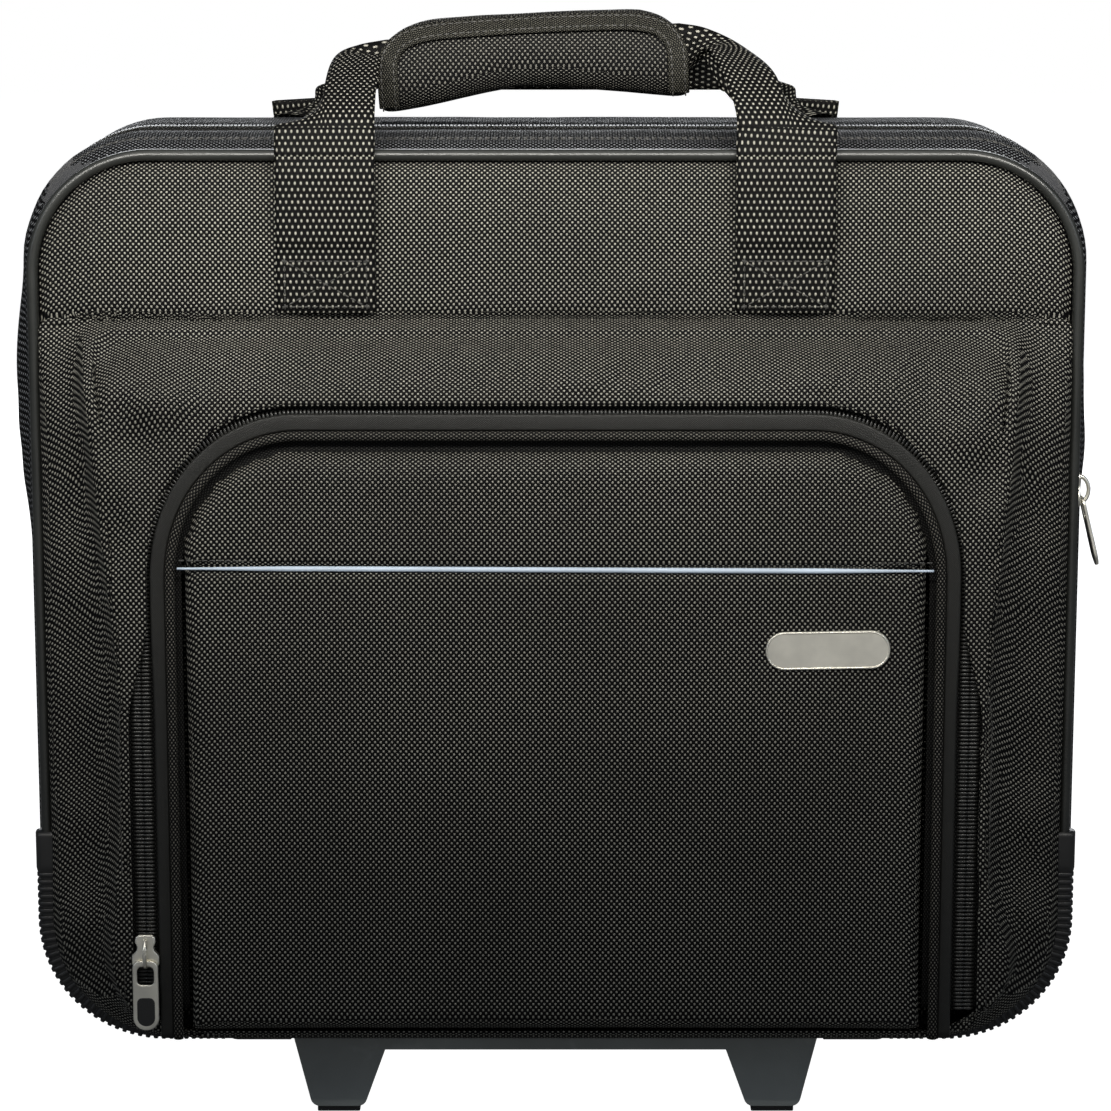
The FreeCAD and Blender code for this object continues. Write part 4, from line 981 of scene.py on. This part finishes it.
def plate(name, loops, thick, bevel, finish, place):
    """A flat part cut to loops of (x, z), with soft edges; the first loop is its outer edge."""
    curve = bpy.data.curves.new(name, "CURVE")
    curve.dimensions, curve.fill_mode = "2D", "BOTH"
    curve.extrude, curve.bevel_depth, curve.bevel_resolution = thick / 2 - bevel, bevel, 2
    curve.offset = -bevel
    for loop in loops:
        line = curve.splines.new("POLY")
        line.points.add(len(loop) - 1)
        for point, (across, up) in zip(line.points, loop):
            point.co = (across, up, 0, 1)
        line.use_cyclic_u = True
    rough = bpy.data.objects.new(name, curve)
    scene.collection.objects.link(rough)
    made = bpy.data.objects.new(name, bpy.data.meshes.new_from_object(rough))
    bpy.data.objects.remove(rough)
    scene.collection.objects.link(made)
    made.data.transform(place @ Matrix.Rotation(math.pi / 2, 4, "X"))
    made.data.materials.clear()
    made.data.materials.append(finish)
    close_up(made)
    for face in made.data.polygons:
        face.use_smooth = len(face.vertices) == 4
    return made


def loop_of(*shape):
    return outline(*shape, step=0.0008)[0].tolist()


def set_at(spot, degrees, axis="Z"):
    return Matrix.Translation(spot) @ Matrix.Rotation(math.radians(degrees), 4, axis)


tilt = set_at((0.1096, -0.1004, 0.2102), -1.0, "Y")
badge = plate("badge", [loop_of(0.0252, -0.0079, 0.0079, 0.0078, 0.0078)], 0.0018, 0.0006,
              nickel, tilt)
rim = swept("badge_rim", outline(0.0246, -0.0073, 0.0073, 0.0072, 0.0072, step=0.0008),
            rounded_strip(-0.0004, 0.0004, -0.0012, -0.0006, 0.0003), nickel)
rim.data.transform(tilt)
fit(badge, "pocket_flap", "nameplate")
fit(rim, "pocket_flap")


# ---- Zip sliders and pulls ---------------------------------------------------------------------
# Die-cast nickel-plated sliders with a hoop. Each pull is a stamped tab that hangs in the hoop by
# its window and has a rubber inlay pressed into its lower half.

slider_edge = [(0.0026, 0.0072), (0.0040, 0.0062), (0.0043, 0.0042), (0.0034, 0.0022),
               (0.0036, 0.0006), (0.0056, -0.0016), (0.0056, -0.0052), (0.0044, -0.0070),
               (0.0018, -0.0064)]
slider_loop = slider_edge + [(-x, z) for x, z in reversed(slider_edge)]


def slider_and_pull(name, place, hang, lean):
    """The slider at place, and its pull hanging from the hinge point hang, leaning outwards."""
    parts = [plate(f"{name}_slider_top", [slider_loop], 0.0016, 0.0005, nickel,
                   place @ Matrix.Translation((0, -0.0031, 0))),
             plate(f"{name}_slider_base", [[(x * 0.9, z * 0.92) for x, z in slider_loop]],
                   0.0022, 0.0003, nickel, place @ Matrix.Translation((0, -0.0012, 0)))]
    arc = np.radians(np.linspace(8, 172, 18))
    hoop = np.stack([np.zeros(18), -0.0032 - 0.0046 * np.sin(arc),
                     -0.0006 + 0.0058 * np.cos(arc)], 1)
    hoop = [place @ Vector(p) for p in hoop]
    parts.append(tube(f"{name}_slider_hoop", hoop, 0.00085, nickel, sides=10))
    swing = hang @ Matrix.Rotation(math.radians(-lean), 4, "X")
    window = loop_of(0.0034, -0.0092, -0.0012, 0.0016, 0.0024)
    tab = plate(f"{name}_pull_tab", [loop_of(0.0053, -0.0286, 0.0010, 0.0052, 0.0032), window],
                0.0015, 0.0005, nickel, swing)
    well = loop_of(0.0037, -0.0268, -0.0146, 0.0036, 0.0022)
    inlay = plate(f"{name}_pull_inlay", [well], 0.0019, 0.0004, guard_rubber, swing)
    for piece, stands_for in zip(parts, (f"{name}_slider", None, None)):
        fit(piece, f"{name}_slider", stands_for)
    fit(tab, f"{name}_pull", f"{name}_pull")
    fit(inlay, f"{name}_pull")


hinges = {joint["name"]: joint.get("pos_m") for joint in frame["joints"]}
for name, spot, turn, lean in (("pocket", (-0.168, -0.0944, 0.083), 0, 0),
                               ("main", (0.2118, -0.0531, 0.268), 90, 14),
                               ("laptop", (-0.2196, 0.014, 0.300), -90, 0)):
    slider_and_pull(name, set_at(spot, turn), set_at(hinges[f"{name}_pull_swing"], turn), lean)


# ---- Webbing straps and carry handles ----------------------------------------------------------
# 40 mm nylon webbing is sewn flat to the front panel and to the back cover with a boxed cross.
# Above the piping it runs free, folds double lengthwise and becomes the carry handle.

webbing = woven("webbing", (0.0015, 0.0015, 0.0015), (0.310, 0.300, 0.260), 0.0024, 0.0025,
                0.0006, on_uv=True, full=0.6, banding=1.6)


WEBBING_WIDE, WEBBING_THICK = 0.040, 0.0021


def strip(name, centres, across, ways, fold, finish, thick=WEBBING_THICK, wide=WEBBING_WIDE,
          behind=-1, square=True):
    """Webbing along centres; fold, 0 to 1, turns its half on the far side of across under it."""
    w = np.linspace(-1, 1, 21)
    loops = []
    for centre, side, way, bent, broad in zip(centres, across, ways, fold,
                                              np.broadcast_to(wide, len(centres))):
        if square:
            side = np.asarray(side, float) - np.dot(side, way) / np.dot(way, way) * np.asarray(way)
        side = side / np.linalg.norm(side)
        out = np.cross(side, way)
        out /= np.linalg.norm(out)
        a = w * broad / 2 * np.where(w < 0, math.cos(math.pi * bent), 1)
        b = np.where(w < 0, behind * (-w * broad / 2 * math.sin(math.pi * bent)
                                      + 0.0024 * bent * np.tanh(-w * 8)), 0)
        run_a, run_b = np.gradient(a), np.gradient(b)
        long = np.hypot(run_a, run_b) + 1e-9
        taper = np.clip((1 - np.abs(w)) * 17, 0.25, 1) * thick / 2
        upper = np.stack([a - run_b / long * taper, b + run_a / long * taper], 1)
        lower = np.stack([a + run_b / long * taper, b - run_a / long * taper], 1)
        section = np.concatenate([upper, lower[::-1]])
        loops.append(np.asarray(centre) + section[:, :1] * side + section[:, 1:] * out)
    return lattice(name, loops, finish)


def through(points, count):
    """A smooth line through points, and which point each place on it has passed."""
    points = np.array(points, float)
    more = np.concatenate([[2 * points[0] - points[1]], points, [2 * points[-1] - points[-2]]])
    t = np.linspace(0, len(points) - 1, count)
    k = np.minimum(t.astype(int), len(points) - 2)
    u = (t - k)[:, None]
    a, b, c, d = more[k], more[k + 1], more[k + 2], more[k + 3]
    return b + 0.5 * u * (c - a + u * (2 * a - 5 * b + 4 * c - d + u * (3 * b - a - 3 * c + d))), t


SEWN_LOW, SEWN_HIGH = 0.3432, 0.4090


def strap_lie(y, out_y, z):
    """The sewn strap's y at each height: flat where it is stitched, a little slack above."""
    slack = 0.0016 * ease(z, 0.3665, 0.3740) * (1 - ease(z, 0.396, 0.4085))
    return y + out_y * (slack + 0.0004 - 0.0008 * (1 - ease(z, 0.343, 0.349)))


def free_end(sign, x, y, out_y, fold_x, mid_y, fold_z, peak, early, deep):
    """One end of a handle: its middle line and inner edge, from the sewn strap to the grip."""
    reach = sign * fold_x
    lean = np.clip((x - reach - 0.018) / 0.019, 0, 1)
    inner, near = x - 0.020, x - 0.0205 - 0.0100 * lean
    crest = (fold_z + peak) / 2 + 0.001
    middle, t = through([(sign * x, y, 0.4098), (sign * x, y - out_y * 0.005, 0.4220),
                         (sign * (x - 0.0045 * lean - early), y - out_y * 0.026, crest - 0.0090),
                         (sign * (x - 0.0025 - 0.0125 * lean - early), mid_y + out_y * 0.013,
                          crest),
                         (sign * (reach + 0.0070), mid_y + out_y * 0.001, fold_z + 0.0078),
                         (sign * (reach - 0.0040), mid_y, fold_z + 0.0098)], 60)
    edge, _ = through([(sign * inner, y, 0.4098), (sign * inner, y - out_y * 0.005, 0.4220),
                       (sign * (inner - 0.0040 * lean - early), y - out_y * 0.024,
                        crest - 0.0095),
                       (sign * (near - early), mid_y + out_y * 0.012, crest),
                       (sign * min(near - early, reach - 0.001), mid_y, fold_z - deep),
                       (sign * (reach - 0.0045), mid_y, fold_z - deep)], 60)
    return middle, edge, ease(t, 0.4 - 100 * early, 3.4 - 310 * early)


GRIP_TILT = 3
rise = 0.065 * math.tan(math.radians(GRIP_TILT))
grip_x, grip_y, grip_z, grip_half = -0.0096, -0.002, 0.441, 0.064
for end, x, y, out_y, body, mid_y, peak, early, deep, ends in (
        ("front", 0.0925, -0.0704, -1, "front_panel", grip_y, 0.4450, 0.0, 0.0098,
         ((grip_x - 0.065, grip_z - rise), (grip_x + 0.065, grip_z + rise))),
        ("rear", 0.1045, 0.0897, 1, "case", 0.0205, 0.4370, 0.006, 0.0072,
         ((-0.074, 0.4335), (0.074, 0.4335)))):
    halves = [free_end(sign, x, y, out_y, fold_x, mid_y, fold_z, peak, early, deep)
              for sign, (fold_x, fold_z) in zip((-1, 1), ends)]
    middle = np.concatenate([halves[0][0], halves[1][0][::-1]])
    edge = np.concatenate([halves[0][1], halves[1][1][::-1]])
    fold = np.concatenate([halves[0][2], halves[1][2][::-1]])
    loop = strip(f"{end}_handle_loop", middle, edge - middle, np.gradient(middle, axis=0), fold,
                 webbing, wide=2 * np.linalg.norm(edge - middle, axis=1), behind=out_y,
                 square=False)
    fit(loop, f"{end}_handle", f"{end}_handle_webbing")
    for side, sign, half in (("left", -1, halves[0]), ("right", 1, halves[1])):
        z = np.linspace(SEWN_LOW, SEWN_HIGH, 44)
        centres = np.stack([np.full(44, x * sign), strap_lie(y, out_y, z), z], 1)
        sewn = strip(f"{end}_strap_sewn_{side}", centres, [(1, 0, 0)] * 44,
                     np.gradient(centres, axis=0), np.zeros(44), webbing)
        fit(sewn, body, f"{end}_strap_{side}")
        bend = np.concatenate([centres[-3:], half[0][1:8]])
        joined = strip(f"{end}_strap_bend_{side}", bend, [(1, 0, 0)] * 10,
                       np.gradient(bend, axis=0), np.zeros(10), webbing, thick=0.0025, wide=0.0402)
        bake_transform(joined)
        # a sewn box with its cross
        box_half, box_low, box_high = 0.0165, 0.3455, 0.3640
        corners = [(-box_half, box_low), (box_half, box_low), (box_half, box_high),
                   (-box_half, box_high)]
        runs = []
        for pair in ((0, 1), (1, 2), (2, 3), (3, 0), (0, 2), (1, 3)):
            across, up = np.linspace(corners[pair[0]], corners[pair[1]], 12).T
            seam = strap_lie(y, out_y, up) + 0.0014 * out_y
            runs.append((np.stack([x * sign + across, seam, up], 1), [(0, out_y, 0)] * 12))
        stitched(f"{end}_box_{side}", runs, body, 0.0030)

# the wrap: a padded nylon sleeve, bound with tape along its top edge and ends
grip_turn = set_at((grip_x, grip_y, grip_z), -GRIP_TILT, "Y")


def wrap_section(x):
    """Half depth, top and bottom of the wrap at a place along it."""
    end = np.clip((grip_half - np.abs(x)) / 0.026, 0, 1)
    close = np.sqrt(1 - (1 - end) ** 2)
    top = 0.0182 - 0.0170 * (1 - close)
    low = -0.0196 + 0.0078 * np.cos(x / grip_half * math.pi / 2) ** 1.5
    return 0.0163 - 0.0030 * (1 - close), top, low


def wrap_point(x, angle, grow=0.0):
    deep, top, low = wrap_section(x)
    middle, high = (top + low) / 2, (top - low) / 2
    cos, sin = np.cos(angle), np.sin(angle)
    return np.stack([x + 0 * angle,
                     -(deep + grow) * np.sign(cos) * np.abs(cos) ** 0.75,
                     middle + (high + grow) * np.sign(sin) * np.abs(sin) ** 0.75], -1)


stations = grip_half * np.sin(np.linspace(-math.pi / 2, math.pi / 2, 60))
angles = math.tau * np.arange(48) / 48
slack = 0.0005 * crumple(stations[:, None], angles[None] * 0.012, 0.040, 3.3)
rows = [wrap_point(np.full(48, x), angles, s) for x, s in zip(stations, slack)]
# the panel's nylon again with its floats painted half as light: painted shade on the wrap
shaded_wrap_nylon = woven("shaded_wrap_nylon", (0.0015, 0.0015, 0.0018), (0.125, 0.122, 0.107), *NYLON_WEAVE)
wrap = lattice("grip_wrap_pad", rows, shaded_wrap_nylon)
inflate(wrap, 0.0012, 0.0035)
wrap.data.transform(grip_turn)
fit(wrap, "front_handle", "grip_wrap")

binding = woven("binding", (0.004, 0.004, 0.0035), (0.075, 0.072, 0.058), 0.0011, 0.0009,
                0.0002, on_uv=True)
edge_angle = math.radians(38)
run = [(x, edge_angle) for x in np.linspace(-0.0575, 0.0575, 70)]
run = [(-0.0600, a) for a in np.linspace(-0.85, 0.50, 14)] + run \
    + [(0.0600, a) for a in np.linspace(0.50, -0.85, 14)]
run = np.array(run)
spots = np.array([wrap_point(np.array(x), np.array(a), 0.0013) for x, a in run])
spots = np.array([np.convolve(np.pad(spots[:, k], 3, "edge"), np.ones(7) / 7, "valid")
                  for k in range(3)]).T
ways = np.gradient(spots, axis=0)
facing = np.array([wrap_point(np.array(x), np.array(a), 0.01) for x, a in run]) - np.array(
    [wrap_point(np.array(x), np.array(a), 0.0) for x, a in run])
tape = strip("grip_wrap_binding", spots, np.cross(facing, ways), ways, np.zeros(len(run)),
             binding, thick=0.0015, wide=0.0085)
tape.data.transform(grip_turn)
fit(tape, "front_handle")
facing /= np.linalg.norm(facing, axis=1)[:, None]
side = np.cross(facing, ways)
side /= np.linalg.norm(side, axis=1)[:, None]
row = stitched("grip_wrap_stitches", [(spots + side * shift + facing * 0.0008, facing)
                                      for shift in (-0.0026, 0.0026)], "front_handle")
row.data.transform(grip_turn)


# ---- Tub ---------------------------------------------------------------------------------------
# The body of the case: nylon over foam board, lined inside. Round it run the main zip's stitched
# band, two soft bulging gussets and, between them, the laptop compartment's zip.

lining = woven("lining", (0.030, 0.031, 0.034), (0.070, 0.072, 0.078), 0.0007, 0.0005, 0.0001,
               sheen=0.1)
tub_track = outline(0.218, 0.0395, 0.410, 0.050, 0.050, step=0.0045)
tub_path, tub_out = tub_track
TUB_FRONT, TUB_BACK, TUB_WALL = -0.046, 0.084, 0.0078
SEAM_DEEPS = (-0.0330, 0.0040, 0.0245, 0.0720)
deeps = np.concatenate([[TUB_FRONT, -0.0455, -0.0445], np.linspace(-0.043, 0.081, 46),
                        [0.0828, 0.0835, TUB_BACK]])
sections = []
for (x, z), (nx, nz) in zip(tub_path, tub_out):
    y = deeps
    ends = (0.0030 * (1 - ease(y, TUB_FRONT, -0.041))
            + 0.0020 * (1 - ease(TUB_BACK - y, 0, 0.004)))
    seams = 0.0016 * sum(dip(y, deep, 0.0012) for deep in SEAM_DEEPS)
    front_gusset = ease(y, -0.0325, -0.020) * (1 - ease(y, -0.010, 0.0035))
    rear_gusset = ease(y, 0.025, 0.036) * (1 - ease(y, 0.060, 0.0715))
    beside = abs(nx) ** 2
    swell = (0.0065 * dip(z, 0.300, 0.045) if x < 0 else 0.0020 * dip(z, 0.287, 0.040)) * beside
    soft = crumple(y * 1.4, z + x * 0.7, 0.085, 1.1 if x < 0 else 2.9)
    under = 0.25 if nz < -0.5 else 1.0
    top = max(nz, 0) ** 2
    offset = under * (front_gusset * (0.0016 + swell + 0.0012 * soft * beside
                                      + 0.0005 * soft * top)
                      + rear_gusset * (0.0014 + 0.0011 * soft * beside + 0.0004 * soft * top))
    outer = np.stack([offset - ends - seams, y], 1)
    inner = np.stack([np.full(6, -TUB_WALL), np.linspace(TUB_BACK, TUB_FRONT, 6)], 1)
    sections.append(np.concatenate([outer, inner]))
# the panel's nylon again, painted darker and bluish: painted cool shade on the tub
cool_shaded_tub_nylon = woven("cool_shaded_tub_nylon", (0.0015, 0.0016, 0.0020), (0.150, 0.156, 0.165), *NYLON_WEAVE)
tub = swept("case_tub", tub_track, sections, cool_shaded_tub_nylon)
tub.data.materials.append(lining)
for face in tub.data.polygons:
    corners = [tub.data.vertices[v].co for v in face.vertices]
    if (max(abs(c.x) for c in corners) < 0.2103 and min(c.z for c in corners) > 0.0472
            and max(c.z for c in corners) < 0.4024):
        face.material_index = 1
leave_room(tub, rooms)
fit(tub, "case", "case_shell")

seam_track = outline(0.2179, 0.075, 0.4099, 0, 0.050, step=0.004, closed=False)
stitched("tub_stitches", [(in_space(seam_track, 0.0002, deep), flat_out(seam_track))
                          for deep in (-0.0365, -0.0295, 0.0015, 0.0270)], "case")


# ---- Main zip and cloth hinge ------------------------------------------------------------------
# A coil zip joins the panel to the tub over the sides and top. Below its ends a strip of nylon is the
# hinge.

zip_track = outline(0.2108, 0.092, 0.4055, 0, 0.0475, step=0.003, closed=False)
for name, front, back, body, sign in (("panel", -0.0602, -0.0536, "front_panel", 1),
                                      ("shell", -0.0526, -0.0460, "case", -1)):
    tape = swept(f"{name}_zip_tape", zip_track,
                 rounded_strip(-0.0028, -0.0008, front, back, 0.0008), zip_tape, closed=False)
    fit(tape, body, f"{name}_zip")
    coil_half(f"{name}_zip_coil", in_space(zip_track, -0.0003, -0.0531), flat_out(zip_track),
              sign * 0.0018, body)

low_track = outline(0.2112, 0.0402, 0.4055, 0.0478, 0.0478, step=0.004)
low_track = where_kept(low_track, np.roll(np.arange(len(low_track[0])),
                                          -int(np.argmax(low_track[0][:, 1]))))
low_track = where_kept(low_track, low_track[0][:, 1] < 0.0914)
hinge = lattice("cloth_hinge", np.concatenate([
    np.stack([in_space(low_track, -0.0012 - 0.0012 * math.sin(math.pi * t), -0.0594 + 0.0132 * t)
              for t in np.linspace(0, 1, 8)], 1),
    np.stack([in_space(low_track, -0.0030, -0.0462 - 0.0132 * t)
              for t in np.linspace(0, 1, 8)], 1)], 1), nylon)
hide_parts("hinge_strip")
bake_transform(hinge)


# ---- Laptop compartment's zip ------------------------------------------------------------------
# The same coil zip on its tape, sewn round the tub between the two gussets.

zip_y, zip_half_wide, zip_slit = 0.014, 0.0068, 0.0005
laptop_track = outline(0.2183, 0.150, 0.4103, 0, 0.050, step=0.003, closed=False)
for half, sign, low, high, stands_for in (
        ("front", 1, zip_y - zip_half_wide, zip_y - zip_slit, "laptop_zip"),
        ("rear", -1, zip_y + zip_slit, zip_y + zip_half_wide, None)):
    tape = swept(f"laptop_zip_tape_{half}", laptop_track,
                 rounded_strip(-0.0006, 0.0006, low, high, 0.0005), zip_tape, closed=False)
    fit(tape, "case", stands_for)
    coil_half(f"laptop_zip_coil_{half}", in_space(laptop_track, 0.0009, zip_y),
              flat_out(laptop_track), sign * 0.0018, "case")


# ---- Back cover --------------------------------------------------------------------------------
# Padded nylon over the back board. A seam runs across it above the kick plate and one below the
# bezel; the straps and the kick plate are sewn and screwed on through it.


COVER_SEAMS = (0.128, 0.352)


def cover_face(x, z, d):
    pad = ease(d, 0.002, 0.030)
    plain = 1 - dip(z, 0.091, 0.030) - dip(np.abs(x), 0.1045, 0.030) * ease(z, 0.330, 0.345)
    puff = 0.0016 * pad * np.clip(plain, 0, 1) * (1 + 0.5 * crumple(x, z, 0.15, 0.4))
    seams = 0.0014 * sum(dip(z, height, 0.0016) for height in COVER_SEAMS)
    return 0.0868 - 0.0014 * (1 - ease(d, 0, 0.004)) + puff - seams * pad


cover = panel("back_cover_pad", (0.2119, 0.0456, 0.4039, 0.0439, 0.0439), 0.0843, cover_face,
              nylon, rings=46, step=0.005)
leave_room(cover, rooms)
fit(cover, "case", "back_cover")
seam_runs = []
for seam, spans in zip(COVER_SEAMS, (((-0.198, 0.198),),
                                     ((-0.198, -0.127), (-0.082, 0.082), (0.127, 0.198)))):
    seam_runs += [([(low, 0.0884, height), (high, 0.0884, height)], [(0, 1, 0)] * 2)
                  for height in (seam - 0.0035, seam + 0.0035) for low, high in spans]
stitched("cover_stitches", seam_runs, "case")


# ---- Divider and organiser ---------------------------------------------------------------------
# A foam divider in lining cloth parts the laptop from the files. The front pocket holds a flat
# organiser with three pouches and three pen loops, bound along their mouths.


def divider_face(x, z, d):
    edge = 0.0026 * (1 - ease(d, 0, 0.006)) ** 2
    return 0.0086 + edge - 0.0004 * ease(d, 0.004, 0.040)


divider = panel("divider_pad", (0.2094, 0.0481, 0.335, 0.042, 0.014), 0.0138, divider_face, lining,
                rings=36, step=0.006)
inflate(divider, 0.0010, 0.006)
fit(divider, "case", "divider_panel")


def board_face(x, z, d):
    return -0.0686 + 0.0008 * (1 - ease(d, 0, 0.003)) + 0.0004 * crumple(x, z, 0.06, 5.0)


def pouch_face(x, z, d):
    return -0.0694 - 0.0024 * ease(d, 0, 0.020)


board = panel("organizer_back", (0.150, 0.060, 0.250, 0.006, 0.006), -0.0664, board_face,
              lining, rings=20, rim=0.005)
fit(board, "front_panel", "organizer_panel")
for k, (middle, high) in enumerate(((-0.100, 0.150), (0, 0.135), (0.100, 0.150))):
    pouch = panel(f"organizer_pouch_{k}", (0.044, 0.064, high, 0.006, 0.004), -0.0691,
                  pouch_face, nylon, rings=12, rim=0.0035)
    pouch.data.transform(Matrix.Translation((middle, 0, 0)))
    fit(pouch, "front_panel")
    x = np.linspace(middle - 0.0435, middle + 0.0435, 24)
    bound = strip(f"organizer_binding_{k}", np.stack([x, np.full(24, -0.0718),
                                                      np.full(24, high - 0.002)], 1),
                  [(0, 0, 1)] * 24, [(1, 0, 0)] * 24, np.zeros(24), binding, thick=0.0010,
                  wide=0.009)
    fit(bound, "front_panel")
for k in range(3):
    left = -0.140 + 0.022 * k
    arc = np.linspace(0, math.pi, 14)
    spots = np.stack([left + 0.006 - 0.006 * np.cos(arc), -0.0690 - 0.0040 * np.sin(arc),
                      np.full(14, 0.1925)], 1)
    fit(strip(f"organizer_pen_loop_{k}", spots, [(0, 0, 1)] * 14, np.gradient(spots, axis=0),
              np.zeros(14), binding, thick=0.0008, wide=0.015), "front_panel")


# ---- Moulded stand, base, wheels and kick plate ------------------------------------------------
# Injection-moulded polypropylene with a fine spark-eroded grain: the front stand with its two feet,
# the base plate with skids, the wheel housings and the kick plate. Rubber pads and tyres.


def moulded(name, colour, rough, grain, relief):
    """Moulded plastic: spark-eroded grain, slow change of shine and pale rubbed patches."""
    made, tree = material(name)
    place = put(tree, "ShaderNodeTexCoord")
    pores = put(tree, "ShaderNodeTexNoise", Vector=place.outputs["Object"], Scale=grain,
                Detail=3.0)
    body, haze = patchy(tree, colour, 0.035, 0.7)
    rub = put(tree, "ShaderNodeTexNoise", Vector=place.outputs["Object"], Scale=55.0, Detail=6.0)
    worn = stretch(tree, rub.outputs[0], 0.62, 0.80, 0, 0.35)
    tint = blend_colour(tree, worn, body, (*[c * 2.2 for c in colour], 1))
    bump = put(tree, "ShaderNodeBump", Strength=0.5, Distance=relief, Height=pores.outputs[0])
    finish_with(tree, Base_Color=tint, Normal=bump.outputs[0],
                Roughness=calc(tree, "MULTIPLY", haze, rough))
    return made


# the stand is dark charcoal plastic; this grey is raised well above that to stand in for light thrown up from the
# floor: partly its own colour, partly painted light
stand_plastic = moulded("stand_plastic", (0.200, 0.216, 0.210), 0.52, 1400.0, 0.0002)
base_plastic = moulded("base_plastic", (0.016, 0.016, 0.016), 0.60, 1100.0, 0.0002)
grip_plastic = moulded("grip_plastic", (0.020, 0.020, 0.020), 0.44, 1600.0, 0.0001)
hub_plastic = moulded("hub_plastic", (0.070, 0.070, 0.075), 0.40, 1600.0, 0.0001)
board_plastic = moulded("board_plastic", (0.050, 0.050, 0.050), 0.70, 700.0, 0.0002)
tyre_rubber = moulded("tyre_rubber", (0.018, 0.018, 0.018), 0.75, 900.0, 0.0003)
aluminium = metal("anodised_aluminium", (0.60, 0.61, 0.63), 0.34, 0.30)
steel = metal("zinc_steel", (0.55, 0.55, 0.54), 0.36, 0.30)
black_steel = metal("black_steel", (0.06, 0.06, 0.06), 0.42, 0.30)

# the release button's coil spring
PRESS, COIL_PITCH, END_GAP = 0.004, 0.0017, 0.0005
low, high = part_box("button_spring")
tall, middle_y = high.z - low.z, (low.y + high.y) / 2
radius = (high.x - low.x) / 2 - END_GAP
turn = np.linspace(0, math.tau * (tall - 2 * END_GAP) / COIL_PITCH, 120)
spots = np.stack([radius * np.cos(turn), middle_y + radius * np.sin(turn),
                  np.linspace(low.z + END_GAP, high.z - END_GAP, 120)], 1)
spring = tube("button_spring_coil", spots, 0.0004, steel, sides=8)
fit(spring, "trolley_stage_2", "button_spring")
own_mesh(spring)

finishes = {"stand_plastic": stand_plastic, "base_plastic": base_plastic,
            "grip_plastic": grip_plastic, "hub_plastic": hub_plastic, "board": board_plastic,
            "tyre": tyre_rubber, "tube_aluminium": aluminium, "steel": steel,
            "black_screw": black_steel, "guard_rubber": guard_rubber}
soft_edges = {"front_stand": 0.0016, "base_plate": 0.0010, "foot_pads": 0.0008,
              "wheel_housing_left": 0.0010, "wheel_housing_right": 0.0010,
              "kick_plate": 0.0007, "trolley_bezel": 0.0010, "trolley_grip": 0.0012,
              "release_button": 0.0010, "tube_bracket": 0.0010, "base_screws": 0.0005,
              "bezel_screws": 0.0005, "axles": 0.0005, "hub_left": 0.0005, "hub_right": 0.0005}
for part in frame["record"]["subparts"]:
    node = frame["nodes"][part["node"]]
    if node.hide_render:
        continue
    node.data.materials.clear()
    node.data.materials.append(finishes[part["material_slot"]])
    if part["node"] in soft_edges:
        weld = node.modifiers.new("weld", "WELD")
        weld.merge_threshold = 0.00002
        edge = node.modifiers.new("edge", "BEVEL")
        edge.width, edge.segments = soft_edges[part["node"]], 3
        edge.limit_method, edge.angle_limit = "ANGLE", math.radians(40)
        edge.harden_normals = True

bpy.data.objects.remove(stitch)

low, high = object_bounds()
